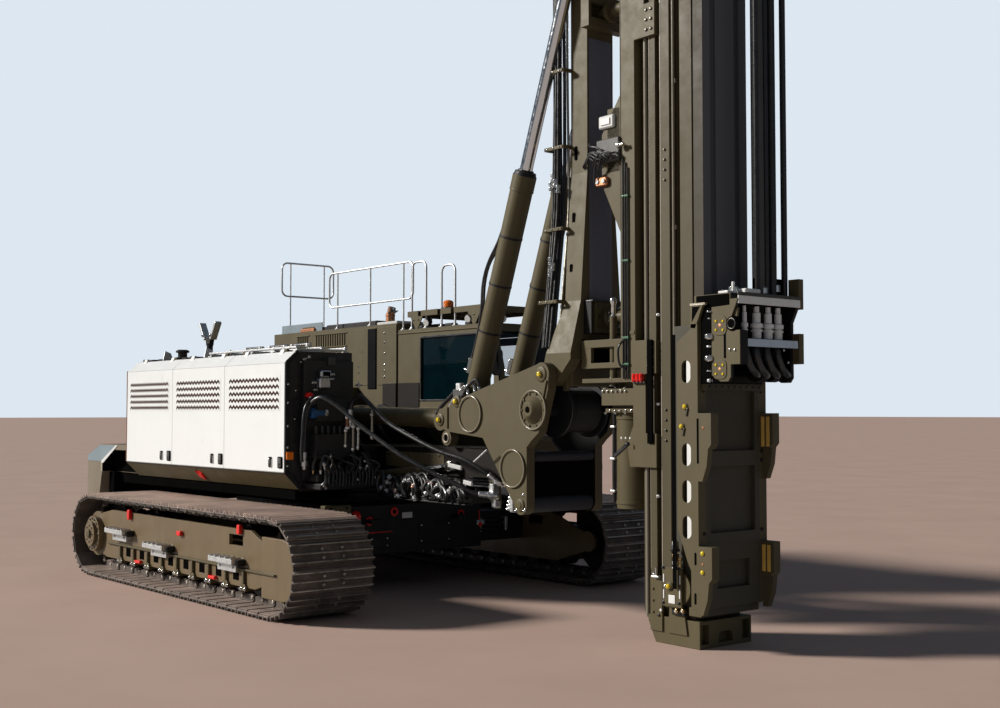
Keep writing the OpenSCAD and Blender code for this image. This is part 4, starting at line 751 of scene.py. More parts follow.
def make_track_sides():
    # Side, its name, and how far the step's rungs reach along Y
    for side, tag, rung_in, rung_out in ((-1, "right", 0.02, 0.145), (1, "left", 0.0, 0.142)):
        d = Piece(f"track_frame_{tag}_detail", "undercarriage", "olive_paint")
        out = side * 2.3
        face = on_y(out)
        outward = (0, side, 0)
        # Lower ledge, drive cover with its bolts
        d.box((-1.95, out - side * 0.001, 0.405), (2.2, out + side * 0.035, 0.425))
        d.bolt_ring((-2.3, out + side * 0.069, AXLE_Z), outward, 0.185, 16, 0.011, "dark_steel")
        d.bolt_ring((-2.3, out + side * 0.109, AXLE_Z), outward, 0.1, 8, 0.01, "dark_steel")
        d.lathe((-2.3, out + side * 0.109, AXLE_Z), outward, [(0, 0.055), (0.022, 0.05), (0.028, 0.03)], n=24)
        # Roller caps with their bolts, and dark patches between them as painted shade of the openings there
        for k in range(ROLLERS):
            x = -1.55 + k * ROLLER_STEP
            d.prism([(x - 0.062, 0.2), (x + 0.062, 0.2), (x + 0.062, 0.245), (x + 0.03, 0.275), (x - 0.03, 0.275),
                     (x - 0.062, 0.245)], face, -0.3, 0.028, c=0.005)
            d.box((x - 0.018, out, 0.27), (x + 0.018, out + side * 0.03, 0.4))
            for s in (-1, 1):
                d.bolt((x + s * 0.042, out + side * 0.028, 0.222), outward, 0.0125, "bright_steel")
        for k in range(ROLLERS - 1):
            x = -1.55 + (k + 0.5) * ROLLER_STEP
            d.plate(x - 0.062, 0.292, x + 0.062, 0.392, face, -0.001, 0.003, "shadow_black", 0.001)
        # Red painted eyes and marks: X, height, width, depth
        for x, z, w, h in ((-1.29, 0.79, 0.065, 0.12), (0.07, 0.67, 0.1, 0.055), (1.46, 0.81, 0.065, 0.1),
                           (-1.02, 0.262, 0.15, 0.035), (0.87, 0.272, 0.15, 0.035)):
            d.prism(rounded(x, z, w, h, min(w, h) * 0.35), face, -0.001, 0.042, "red_paint", 0.006)
        # Rounded nose plate of the side frame, in front of the idler
        arc = [math.radians(15 * k) for k in range(1, 12)]
        nose = [(2.3 + 0.3 * math.sin(a), 0.47 - 0.3 * math.cos(a)) for a in arc]
        d.prism([(1.9, 0.17), (2.3, 0.17)] + nose + [(2.3, 0.77), (1.9, 0.77)], face, -0.03, 0.008,
                "track_frame_paint", 0.006)
        # Steps: dark support, bright rungs and bolts
        for x, z in ((-1.75, 0.56), (-0.65, 0.47), (1.0, 0.47)):
            d.plate(x + 0.42, z - 0.02, x + 0.56, z + 0.045, face, -0.001, 0.09, "dark_paint", 0.005)
            for k in range(5):
                d.box((x + 0.03 + k * 0.115, out + side * rung_in, z + 0.05),
                      (x + 0.045 + k * 0.115, out + side * rung_out, z + 0.066), "galvanised", 0.002)
            for k in range(2):
                d.bolt((x + 0.12 + k * 0.28, out + side * 0.06, z - 0.045), outward, 0.012, "bright_steel")
        d.done()


# Upper machine; hood and cab share their right face

RIGHT_SIDE = 0.6


def make_doors():
    """Latches, seams and grilles, door by door."""
    latch_z, rows, teeth = 1.455, 5, 30
    for i in range(3):
        name = f"power_pack_door_{i + 1}"
        x1 = -3.12 + i * 1.4 + 0.004
        x2 = x1 + 1.392
        d = Piece(f"{name}_detail", name, "dark_paint")
        # Latches: middle, width, height
        for x, w, h in ((x2 - 0.292, 0.062, 0.112), (x2 - 0.075, 0.092, 0.125)):
            d.prism(rounded(x, latch_z, w, h, 0.012), on_y(-1.599), 0, 0.016, "shadow_black", 0.004)
            d.prism(rounded(x, latch_z, w - 0.02, h - 0.024, 0.008), on_y(-1.614), 0, 0.006, "engine_paint", 0.002)
            d.prism(rounded(x, latch_z - 0.018, w * 0.45, 0.03, 0.008), on_y(-1.618), 0, 0.006, "black_parts", 0.002)
            d.bolt((x, -1.619, latch_z + 0.03), RIGHT, 0.007, "bright_steel", False)
        # Folded lower edge and a seam line on the bend
        d.box((x1 + 0.006, -1.604, 1.349), (x2 - 0.006, -1.5995, 1.357), "grey_plate", 0.001)
        d.box((x1 + 0.002, -1.6015, 2.528), (x2 - 0.002, -1.5993, 2.532), "grey_plate", 0.0005)
        # Grille: brown plate behind the slots as painted shade of the dim bay, white cover over them, and on it rows of
        # brown zigzag perforations drawn as painted shade
        d.box((x1 + 0.12, -1.556, 2.0), (x2 - 0.12, -1.552, 2.42), "grille_brown", 0.001)
        d.box((x1 + 0.095, -1.6015, 2.012), (x2 - 0.095, -1.5993, 2.4), "white_paint", 0.0005)
        step = (x2 - x1 - 0.235) / teeth
        for row in range(rows):
            z = 2.026 + row * 0.0745
            low = [(x1 + 0.115 + k * step, z + (0.026 if k % 2 else 0.0)) for k in range(teeth + 1)]
            d.prism(low + [(u, v + 0.03) for u, v in reversed(low)], on_y(-1.601), 0, 0.003, "grille_brown", 0.0004)
        d.done()


def make_power_pack_trim():
    p = Piece("power_pack_trim", "upper", "olive_paint")
    # Front frame of the housing: black film and posts along its edge
    outline = [(-0.752, 2.655), (-1.452, 2.655), (-1.598, 2.525), (-1.598, 1.345), (-1.418, 1.165), (-0.752, 1.165)]
    p.prism(outline, on_x(1.0785), 0, 0.004, "black_parts", 0.001)
    for a, b in zip(outline[1:], outline[2:]):
        u = Vector((0, b[0] - a[0], b[1] - a[1]))
        m = Vector((1.086, (a[0] + b[0]) / 2 + (0.028 if a[0] < -1.5 else 0.018), (a[1] + b[1]) / 2))
        p.block(m, u, AHEAD, (u.length / 2, 0.01, 0.026), "dark_paint")
    for z in (1.42, 1.62, 1.85, 2.1, 2.3):
        p.bolt((1.096, -1.565, z), AHEAD, 0.009, "bright_steel")
    for y, z in ((-1.36, 2.57), (-1.3, 2.6), (-1.2, 2.42), (-0.93, 2.36), (-0.93, 2.28), (-0.86, 2.52)):
        p.bolt((1.083, y, z), AHEAD, 0.013, "bright_steel")
    p.prism(rounded(-1.085, 2.545, 0.1, 0.09, 0.01), on_x(1.083), 0, 0.03, "black_parts", 0.004)
    p.prism(rounded(-1.085, 2.545, 0.06, 0.05, 0.01), on_x(1.112), 0, 0.006, "engine_paint", 0.002)
    # Side lamp at the corner, on its black base
    p.prism(rounded(-1.548, 1.53, 0.085, 0.085, 0.012), on_x(1.094), 0, 0.03, "beacon_orange", 0.006)
    p.prism(rounded(-1.548, 1.53, 0.105, 0.105, 0.014), on_x(1.088), 0, 0.01, "black_parts", 0.002)
    # Brown gasket along the rear edge
    p.box((-3.128, -1.606, 1.35), (-3.11, -1.5, 2.54), "copper")
    # Hook on the chamfered lip
    p.prism([(-0.16, 1.255), (-0.03, 1.225), (0.0, 1.3), (-0.06, 1.325), (-0.09, 1.285), (-0.14, 1.33)],
            lambda u, v, t: (u * 0.8 - 1.02, -0.23 - v - t * 0.7, v - 0.03 - t * 0.7), -0.004, 0.02, "red_paint", 0.004)
    # Sill rail under the doors
    p.box((-3.1, -1.603, 1.335), (1.07, -1.585, 1.347), "dark_paint", 0.003)
    p.done()


def make_roof_rig():
    """Galvanised frame, filler cap and forked rest on the power pack's roof."""
    r = Piece("power_pack_roof_rig", "upper", "galvanised")
    top = 2.66
    for y in (-1.42, -1.1, -0.8):
        r.box((-1.05, y - 0.02, top + 0.035), (1.04, y + 0.02, top + 0.06))
    for x in (-1.05, -0.55, 0.0, 0.5, 1.0):
        r.box((x, -1.43, top + 0.012), (x + 0.04, -0.79, top + 0.038))
        for y in (-1.42, -0.8):
            r.box((x - 0.01, y - 0.03, top - 0.001), (x + 0.05, y + 0.03, top + 0.014), c=0.003)
            r.bolt((x + 0.02, y, top + 0.06), UP, 0.012, "bright_steel")
    for x in (-0.45, 0.12, 0.62):
        r.rod((x, -1.26, top + 0.085), (x + 0.42, -1.26, top + 0.085), 0.018, "bright_steel", 12)
        for s in (0.04, 0.38):
            r.box((x + s - 0.02, -1.29, top + 0.055), (x + s + 0.02, -1.23, top + 0.095), c=0.003)
    for x in (-1.18, -2.36):
        r.prism([(-1.45, top - 0.002), (-1.3, top - 0.002), (-1.34, top + 0.1), (-1.42, top + 0.13)], on_x(x), 0,
                0.016, c=0.004)
    for x in (-2.9, -2.62, -1.9, -1.65):
        r.box((x, -1.4, top - 0.001), (x + 0.14, -1.28, top + 0.03), "dark_paint", 0.005)
    # Filler cap
    r.lathe((-2.3, -1.2, top - 0.001), UP, [(0, 0.075), (0.05, 0.075), (0.055, 0.06), (0.11, 0.06), (0.112, 0.085),
                                              (0.135, 0.088), (0.15, 0.06)], "black_parts", 28)
    # Forked rest
    x, y = -1.52, -1.2
    r.lathe((x, y, top - 0.001), UP, [(0, 0.085), (0.012, 0.085), (0.014, 0.04), (0.16, 0.038), (0.2, 0.05)],
            "dark_paint")
    r.prism([(x - 0.03, top + 0.15), (x + 0.03, top + 0.15), (x + 0.085, top + 0.28), (x - 0.085, top + 0.28)],
            on_y(y + 0.03), 0, 0.06, "dark_paint", 0.006)
    for s in (-1, 1):
        r.block((x + s * 0.15, y, top + 0.355), (s * 0.55, 0, 0.83), LEFT, (0.125, 0.045, 0.018))
        r.bolt((x + s * 0.1, y - 0.05, top + 0.3), RIGHT, 0.014, "bright_steel")
    r.done()


def make_hood_trim():
    h = Piece("hood_trim", "upper", "olive_paint")
    y = RIGHT_SIDE
    side = on_y(y, -1)
    # Black sheet behind the louvres as painted shade of the hood's dim inside, with a raised rail above and below each
    # field
    for x1, n, step in ((-2.46, 6, 0.052), (-1.96, 13, 0.06)):
        x2 = x1 + n * step
        h.box((x1 - 0.03, y + 0.036, 2.86), (x2 + 0.03, y + 0.0395, 3.06), "shadow_black", 0.0005)
        for z in (2.868, 3.045):
            h.box((x1 - 0.035, y - 0.012, z), (x2 + 0.015, y + 0.001, z + 0.014), c=0.003)
    for x1, x2 in ((-1.1, -0.46), (-0.44, -0.005)):
        h.plate(x1, 2.34, x2, 3.08, side, 0, 0.006)
    # Panel below the exhaust: dark band that is the power pack's painted shadow, bolts, seam
    h.box((-0.31, y - 0.012, 1.75), (-0.01, y + 0.002, 2.36), "boom_paint", 0.003)
    for z in (3.0, 2.88, 2.74, 2.6, 2.52, 2.44):
        h.bolt((-0.275, y - 0.006, z), RIGHT, 0.01, "bright_steel")
    h.box((-0.006, y - 0.01, 1.7), (0.003, y + 0.002, 3.1), "shadow_black", 0.001)
    # Roof: bluish plate, box with its lid, dark cover, grey tray, low black cover on the cab
    h.plate(-3.06, 3.111, -1.95, 3.235, side, -0.1, -0.088, "blue_grey")
    h.box((-2.5, 0.66, 3.109), (-2.12, 0.95, 3.165), "copper", 0.01)
    h.box((-2.47, 0.68, 3.16), (-2.15, 0.93, 3.185), c=0.01)
    h.prism([(-1.95, 3.109), (-0.55, 3.109), (-0.62, 3.185), (-1.85, 3.185)], side, -0.75, -0.1, "dark_paint", 0.01)
    h.box((-0.52, 0.64, 3.109), (-0.06, 1.1, 3.15), "grey_plate", 0.012)
    h.prism([(0.03, 3.022), (0.75, 3.022), (0.7, 3.075), (0.06, 3.075)], side, -0.6, -0.14, "black_parts", 0.012)
    h.done()


def make_exhaust_trim():
    e = Piece("exhaust_pipe_detail", "upper", "exhaust_metal")
    e.lathe((-0.33, 0.72, 3.1105), UP, [(0, 0.07), (0.012, 0.07), (0.014, 0.058), (0.11, 0.058), (0.112, 0.061),
                                        (0.132, 0.061), (0.133, 0.058), (0.15, 0.058)], "copper", 28)
    e.block((-0.288, 0.72, 3.268), (0.94, 0, 0.33), LEFT, (0.066, 0.055, 0.003), "dark_steel", 0.002)
    e.rod((-0.345, 0.665, 3.252), (-0.345, 0.775, 3.252), 0.008, "dark_steel", 8)
    e.block((-0.245, 0.72, 3.3), (0.2, 0, 1), LEFT, (0.025, 0.018, 0.01), "blue_grey", 0.003)
    e.done()


def make_cab_trim():
    c = Piece("cab_trim", "upper", "olive_paint")
    y = RIGHT_SIDE
    side = on_y(y, -1)
    # Rubber frame of the side window
    x1, x2, z1, z2 = 0.505, 1.725, 2.14, 2.91
    for low, high in ((z1 - 0.014, z1 + 0.012), (z2 - 0.012, z2 + 0.014)):
        c.plate(x1 - 0.012, low, x2 + 0.012, high, side, -0.01, 0.004, "black_parts")
    for a, b in ((x1 - 0.014, x1 + 0.012), (x2 - 0.012, x2 + 0.014)):
        c.plate(a, z1, b, z2, side, -0.01, 0.004, "black_parts")
    # Roof edge moulding, lower panel, rail along it, and behind the window a dark band that is the power pack's painted
    # shadow
    c.plate(0.03, 2.965, 1.86, 2.985, side, -0.001, 0.012, c=0.004)
    c.prism([(0.035, 1.26), (1.86, 1.26), (1.9, 2.06), (0.035, 2.06)], side, -0.001, 0.006)
    c.plate(0.2, 1.84, 1.95, 1.905, side, -0.001, 0.035, "grey_plate", 0.01)
    c.plate(0.035, 1.92, 0.485, 2.36, side, 0.004, 0.01, "boom_paint")
    for x in (0.3, 1.0, 1.7):
        c.bolt((x, y - 0.034, 1.872), RIGHT, 0.01, "dark_steel")
    # Clips at the roof, work lamps under the roof guard
    for x in (0.55, 0.95, 1.35):
        c.box((x, 0.63, 3.021), (x + 0.16, 0.72, 3.06), "black_parts", 0.01)
    for x in (0.62, 1.45):
        c.lathe((x, 0.66, 3.1), (0.3, -1, -0.25), [(0, 0.035), (0.03, 0.048), (0.075, 0.05), (0.08, 0.044)],
                "black_parts")
        c.lathe((x + 0.024, 0.58, 3.08), (0.3, -1, -0.25), [(0, 0.042), (0.004, 0.04)], "blank_plate")
        c.rod((x, 0.68, 3.1), (x, 0.68, 3.168), 0.01, "black_parts", 8)
    # Front: work lamp at the guard's corner, wiper, mirror on its arm
    c.box((1.9, 0.64, 3.022), (1.99, 0.74, 3.1), "black_parts", 0.012)
    c.lathe((1.99, 0.69, 3.06), (1, -0.2, -0.1), [(0, 0.04), (0.012, 0.04)], "blank_plate")
    c.rod((2.03, 1.1, 1.72), (2.015, 1.25, 2.3), 0.008, "black_parts", 8)
    c.block((2.012, 1.28, 2.36), (0, 0.25, 1), AHEAD, (0.24, 0.006, 0.012), "black_parts", 0.003)
    c.tube(curve([(1.98, 0.64, 2.35), (2.06, 0.58, 2.42), (2.1, 0.54, 2.6), (2.07, 0.54, 2.7)], 5), 0.01,
           "black_parts", 8)
    c.prism(rounded(0.54, 2.56, 0.16, 0.3, 0.05), on_x(2.05), 0, 0.035, "black_parts", 0.01)
    c.done()


def make_cab_interior():
    """Operator's place: seat cloth, armrests with levers, screen, console, pedals."""
    s = Piece("cab_interior", "upper", "seat_cloth")
    ym, z = 1.1, 1.3
    s.prism(rounded(0.75, ym, 0.56, 0.54, 0.09), on_z(z + 0.537), 0, 0.05, c=0.02)
    s.prism(rounded(ym, z + 0.86, 0.5, 0.62, 0.09), on_x(0.5), 0, 0.055, c=0.022)
    s.prism(rounded(ym, z + 1.27, 0.27, 0.2, 0.06), on_x(0.48), 0, 0.06, c=0.02)
    for w in (-1, 1):
        yy = ym + w * 0.33
        s.box((0.6, yy - 0.06, z + 0.62), (1.02, yy + 0.06, z + 0.68), c=0.018)
        s.lathe((0.98, yy, z + 0.66), (0.1, 0, 1), [(0, 0.035), (0.03, 0.028), (0.05, 0.012), (0.12, 0.012),
                                                    (0.13, 0.024), (0.2, 0.027), (0.225, 0.015)], "black_parts", 16)
    s.prism(rounded(1.7, z + 0.95, 0.06, 0.34, 0.015), lambda u, v, t: (u, 0.88 + t, v), 0, 0.26, "black_parts", 0.008)
    s.box((1.68, 0.98, z), (1.74, 1.04, z + 0.8), "engine_paint", 0.01)
    s.box((0.12, 1.3, z), (0.42, 1.52, z + 0.95), "engine_paint", 0.02)
    s.tube(curve([(1.62, 1.02, z), (1.56, 1.02, z + 0.25), (1.6, 1.02, z + 0.45)], 4), 0.012, "bright_steel", 8)
    for w in (-0.1, 0.1):
        s.prism(rounded(1.55, ym + w, 0.12, 0.09, 0.02), lambda u, v, t: (u, v, z + 0.02 + t + (u - 1.5) * 0.5), 0,
                0.018, "black_parts", 0.006)
    s.done()


def make_roof_guard_trim():
    g = Piece("roof_guard_detail", "upper", "olive_paint")
    for k in range(7):
        x = 0.34 + k * 0.19
        g.box((x, 0.62, 3.205), (x + 0.03, 1.58, 3.2285), c=0.003)
    for x in (0.395, 1.505):
        for w in (0.06, -0.035):
            g.bolt((x + w, 0.5995, 3.13), RIGHT, 0.009, "dark_steel", False)
    g.done()


def make_beacon():
    b = Piece("beacon_detail", "upper", "beacon_orange")
    x, yb, zb = 0.805, 0.8, 3.241
    b.lathe((x, yb, zb), UP, [(0, 0.074), (0.012, 0.076), (0.03, 0.072), (0.032, 0.058)], "black_parts", 28)
    prof = [(0.03, 0.06)]
    for k in range(6):
        prof += [(0.036 + k * 0.01, 0.0635), (0.041 + k * 0.01, 0.06)]
    prof += [(0.1, 0.056), (0.112, 0.04), (0.118, 0.015)]
    b.lathe((x, yb, zb), UP, prof, n=32)
    b.done(["beacon"])


def make_counterweight_trim():
    c = Piece("counterweight_trim", "upper", "olive_paint")
    # White strip on the rear corner
    c.plate(-4.54, 0.82, -4.46, 1.2, on_y(-1.509), 0, 0.006, "blank_plate", 0.002)
    for s in (-1, 1):
        # Blue-grey side plate with its pale edge: painted light in the tone of a sky-lit sloped face and a painted
        # highlight on its edge; a pale strip on the corner; black sheets in the recess in front of it as painted shade
        side = on_y(s * 1.5995)
        c.prism([(-4.455, 1.32), (-3.93, 1.32), (-3.44, 1.55), (-4.02, 1.55), (-4.455, 1.395)], side, 0, 0.004,
                "blue_grey", 0.002)
        c.prism([(-3.95, 1.3), (-3.9, 1.3), (-3.41, 1.545), (-3.46, 1.555), (-3.95, 1.335)], side, 0.002, 0.01,
                "blank_plate", 0.002)
        c.plate(-3.97, 1.19, -3.932, 1.34, side, 0.0, 0.006, "worn_edge", 0.002)
        c.box((-3.925, s * 1.4205, 1.19), (-3.125, s * 1.43, 1.485), "shadow_black", 0.002)
        c.box((-3.9295, s * 1.4205, 1.19), (-3.922, s * 1.597, 1.485), "shadow_black", 0.002)
    # Black trays under the deck as painted shade of the dark space under the machine
    c.box((-3.92, -1.4, 1.035), (-0.72, 1.4, 1.178), "shadow_black", 0.01)
    c.box((-3.94, -1.5, 0.745), (-3.76, 1.5, 1.178), "shadow_black", 0.01)
    for s in (-1, 1):
        c.box((-0.73, s * 0.74, 1.035), (0.98, s * 1.4, 1.178), "shadow_black", 0.01)
    c.done()


# Boom, boom head and backstay cylinders


def make_boom_head_trim():
    h = Piece("boom_head_trim", "boom_head", "olive_paint")
    # Middle of the lower cover, in X and Z
    kx, kz = 3.61, 1.45
    for s in (-1, 1):
        y = s * 0.5
        # Bright edges of the welded rings
        # Beads of the welded rings, lighter than the plate as a painted highlight
        for x, z, r in ((kx - 0.68, kz + 0.53, 0.19), (kx, kz, 0.19), (kx + 0.31, kz + 0.57, 0.195)):
            h.ring((x, y + s * 0.0165, z), (0, s, 0), r - 0.016, r - 0.001, 0.006, "ring_edge", 64)
        # Hub and bolts of the upper cover
        x, z = kx + 0.31, kz + 0.57
        h.lathe((x, y + s * 0.066, z), (0, s, 0), [(0, 0.072), (0.008, 0.066), (0.014, 0.062), (0.014, 0.034),
                                                   (0.002, 0.03)], n=32)
        h.lathe((x, y + s * 0.0745, z), (0, s, 0), [(0, 0.031), (0.001, 0.03)], "shadow_black", 24)
        h.bolt_ring((x, y + s * 0.007, z), (0, s, 0), 0.158, 10, 0.012, washer=False)
        # Pins' keeper plates with yellow grease caps
        for px, pz, r in ((2.41, 1.92, 0.066), (2.7, 2.11, 0.062), (4.03, 2.36, 0.075)):
            h.lathe((px, y - s * 0.001, pz), (0, s, 0), [(0, r), (0.01, r), (0.014, r - 0.006), (0.014, 0.032),
                                                         (0.022, 0.028)], n=32)
            h.lathe((px, y + s * 0.02, pz), (0, s, 0), [(0, 0.026), (0.012, 0.026), (0.022, 0.02), (0.026, 0.008)],
                    "yellow_cap", 16)
        h.block((4.085, y + s * 0.007, 2.22), (0.3, 0, 1), LEFT, (0.085, 0.008, 0.014))
        h.block((2.545, y + s * 0.007, 1.94), UP, LEFT, (0.11, 0.008, 0.009))
        h.lathe((3.72, y - s * 0.001, 1.1), (0, s, 0), [(0, 0.062), (0.01, 0.062), (0.014, 0.056), (0.014, 0.03),
                                                         (0.02, 0.028)], n=32)
        for px, pz in ((3.76, 1.2), (3.66, 1.04), (3.78, 1.05)):
            h.bolt((px, y, pz), (0, s, 0), 0.012, "bright_steel")
        # Lug's bush
        h.ring((2.52, y - s * 0.001, 1.73), (0, s, 0), 0.034, 0.056, 0.014, "worn_edge", 32)
        h.lathe((2.52, y + s * 0.002, 1.73), (0, s, 0), [(0, 0.0345), (0.001, 0.034)], "shadow_black", 24)
    # Black sheet between the cross tubes as painted shade of the dark space behind them
    h.box((3.758, -0.398, 1.18), (3.768, 0.398, 1.52), "shadow_black", 0.002)
    # Fittings at the head's toe, in front of the hoses' ends
    for k in range(5):
        z = 1.045 + k * 0.038
        h.rod((3.47 + 0.012 * k, -0.47, z), (3.56 + 0.012 * k, -0.455, z + 0.012), 0.014, "bright_steel", 12)
        h.rod((3.495 + 0.012 * k, -0.47, z + 0.003), (3.525 + 0.012 * k, -0.462, z + 0.007), 0.02, "galvanised", 6)
    h.box((3.55, -0.498, 1.02), (3.6, -0.43, 1.25), "galvanised", 0.008)
    h.done()


def make_winch_rope():
    """Rope lying on the drum turn by turn, and the drum's bright rims."""
    w = Piece("winch_rope", "winch", "dark_paint")
    turns, steps, r = 22, 18, 0.214
    path = []
    for k in range(turns * steps + 1):
        a = 2 * math.pi * k / steps
        path.append((3.92 + r * math.cos(a), -0.19 + 0.38 * k / (turns * steps), 2.02 + r * math.sin(a)))
    w.tube(path, 0.0085, "winch_rope", 6)
    for s in (-1, 1):
        w.ring((3.92, s * 0.2325, 2.02), (0, s, 0), 0.256, 0.264, 0.004, "dark_steel", 64)
    w.done()


def make_boom_arm_trim():
    """Doubler plates with their bolts, and three pipes clamped under the arm."""
    b = Piece("boom_arm_detail", "boom", "olive_paint")
    for s in (-1, 1):
        y = s * 0.394
        b.prism([(1.25, 1.4), (2.35, 1.375), (2.35, 1.56), (1.25, 1.565)], on_y(y), -0.001, 0.008, c=0.004)
        for k in range(6):
            b.bolt((1.32 + k * 0.19, y + s * 0.008, 1.54), (0, s, 0), 0.01, "dark_steel")
        b.lathe((2.55, s * 0.502, 1.44), (0, s, 0), [(-0.01, 0.05), (0.002, 0.05), (0.006, 0.044)], "dark_steel", 24)
    for z, r in ((1.3, 0.013), (1.265, 0.013), (1.235, 0.01)):
        b.tube([(1.5, -0.2, z), (2.4, -0.2, z - 0.005), (3.1, -0.22, z - 0.005)], r, "galvanised")
    for x in (1.7, 2.1, 2.5, 2.9):
        b.box((x, -0.25, 1.22), (x + 0.03, -0.16, 1.335), "galvanised")
    b.done()


def make_backstay_trim():
    """Glands, pipes, bands and hoses of the backstay cylinders, and rings at their rods' eyes."""
    foot, top = Vector((2.7, 0, 2.11)), Vector((4.23, 0, 6.31))
    left, apart = Vector(LEFT), 0.272
    d = (top - foot).normalized()
    n = Vector((-d.z, 0, d.x))
    b = Piece("backstay_barrel_detail", "backstay_barrels", "olive_paint")
    for s in (-1, 1):
        base = foot + left * (s * apart)
        end = base + d * 2.4
        b.lathe(end - d * 0.002, d, [(0, 0.119), (0.012, 0.114), (0.04, 0.106), (0.044, 0.082), (0.058, 0.078),
                                     (0.06, 0.0665)], "dark_paint", 36)
        for k in range(12):
            a = 2 * math.pi * k / 12
            p = end + (n * math.cos(a) + left * math.sin(a)) * 0.096
            b.bolt(p + d * 0.014, d, 0.009, "dark_steel", False)
        b.lathe(base + d * 2.236, d, [(0, 0.1165), (0.004, 0.1235), (0.02, 0.1235), (0.024, 0.1225)], n=36)
        # Ports, pipe to the rod's end, valve block at the foot
        for t in (0.3, 2.18):
            b.block(base + d * t + n * 0.118, d, LEFT, (0.05, 0.035, 0.022), c=0.006)
        pipe = [base + d * t + n * 0.15 for t in (0.3, 0.8, 1.4, 2.0, 2.18)]
        b.tube(pipe, 0.014, "galvanised")
        b.block(base + d * 0.34 + n * 0.155, d, LEFT, (0.085, 0.05, 0.035), "engine_paint", 0.008)
        for t, w in ((0.28, -0.03), (0.33, 0.03), (0.39, 0.0)):
            b.rod(base + d * t + n * 0.18 + left * w, base + d * t + n * 0.235 + left * w, 0.013, "bright_steel", 12)
        for t in (0.75, 1.25, 1.75):
            b.lathe(base + d * t, d, [(0, 0.117), (0.001, 0.1195), (0.022, 0.1195), (0.023, 0.117)], "dark_paint", 36)
            b.block(base + d * (t + 0.011) + n * 0.135, d, LEFT, (0.018, 0.03, 0.02), "dark_paint")
        # Black hoses that leave the right barrel in a bow; columns: along the barrel, away from it
        if s < 0:
            for off, w, r in ((0.0, -0.02, 0.016), (0.035, 0.03, 0.014)):
                bow = ((0.42, 0.17), (0.62, 0.16 + off), (0.92, 0.185 + off), (1.2, 0.255 + off), (1.42, 0.245 + off),
                       (1.66, 0.165), (1.8, 0.135))
                b.tube(curve([base + d * t + n * o + left * w for t, o in bow], 6), r, "rubber")
    b.done()
    r = Piece("backstay_rod_eyes", "backstay_rods", "chromed_rod")
    for s in (-1, 1):
        p = top + left * (s * apart)
        for e in (-1, 1):
            r.lathe(p + left * (e * 0.066), (0, e, 0),
                    [(0, 0.086), (0.004, 0.082), (0.004, 0.066), (0.0, 0.064)], "dark_paint", 32)
        r.lathe(p - d * 0.2, d, [(0, 0.0655), (0.004, 0.074), (0.06, 0.078), (0.12, 0.084), (0.13, 0.07)],
                "dark_paint", 32)
    r.done()


def make_boom_head_hoses():
    """Pipes and elbows standing on the head's top edge, by the right cylinder's foot."""
    g = Piece("boom_head_hose_group", "boom_head", "galvanised")
    for k, (x, y) in enumerate(((2.86, -0.47), (2.95, -0.455), (3.04, -0.47))):
        z = 2.06 + (x - 2.86) * 0.36
        g.rod((x, y, z), (x - 0.01, y, z + 0.13), 0.016, "bright_steel", 12)
        g.rod((x, y, z + 0.02), (x - 0.003, y, z + 0.055), 0.026, n=6)
        bend = [(x - 0.01, y, z + 0.12), (x - 0.02, y, z + 0.17), (x - 0.06, y - 0.005, z + 0.205),
                (x - 0.13, y - 0.01, z + 0.17), (x - 0.22, y - 0.01, z + 0.1), (x - 0.3, y - 0.02, z)]
        g.tube(curve(bend, 5), 0.015, "bright_steel" if k < 2 else "rubber")
    g.box((2.62, -0.498, 2.16), (2.8, -0.42, 2.235), "engine_paint", 0.008)
    g.box((2.66, -0.49, 2.23), (2.74, -0.43, 2.3), c=0.01)
    g.tube(curve([(2.66, -0.46, 2.24), (2.55, -0.47, 2.16), (2.42, -0.48, 2.07), (2.33, -0.49, 1.98)], 6), 0.022,
           "rubber", 12)
    g.done()


# Mast, carriage and their hoses

HOSE_JOINT = [(0, 0.02), (0.005, 0.026), (0.03, 0.026), (0.034, 0.021), (0.05, 0.021), (0.052, 0.027), (0.08, 0.027),
              (0.084, 0.02)]


def make_mast_trim():
    m = Piece("mast_trim", "mast", "olive_paint")
    front, half = 4.33, 0.17
    # Slate-blue plate on the front face as painted shade, the cool tone of the shaded face, with bolts below it
    m.plate(-0.15, 3.06, 0.15, 5.6, on_x(front - 0.001), 0, 0.007, "mast_slate")
    m.box((front - 0.001, -0.162, 3.052), (front + 0.105, 0.162, 3.06), "black_parts", 0.002)
    for z in (2.79, 2.9, 3.01):
        for y in (-0.14, 0.14):
            m.bolt((front + 0.1095, y, z), AHEAD, 0.012, "dark_steel")
    # Oval service slots in the side faces, drawn as dark patches of painted shade
    for z, h in ((2.97, 0.1), (3.35, 0.14), (3.85, 0.14), (4.5, 0.14)):
        for s in (-1, 1):
            w = half + (0.0005 if z > 4.3 else (4.3 - z) * 0.07)
            m.prism(rounded(4.17 if z > 3 else 4.22, z, 0.045, h, 0.02), on_y(s * w), -0.004, 0.003, "shadow_black",
                    0.001)
    m.done()


def lean_in(z):
    """How much further out the mast's side stands at its wider foot."""
    return max(0.0, 3.9 - z) * 0.1


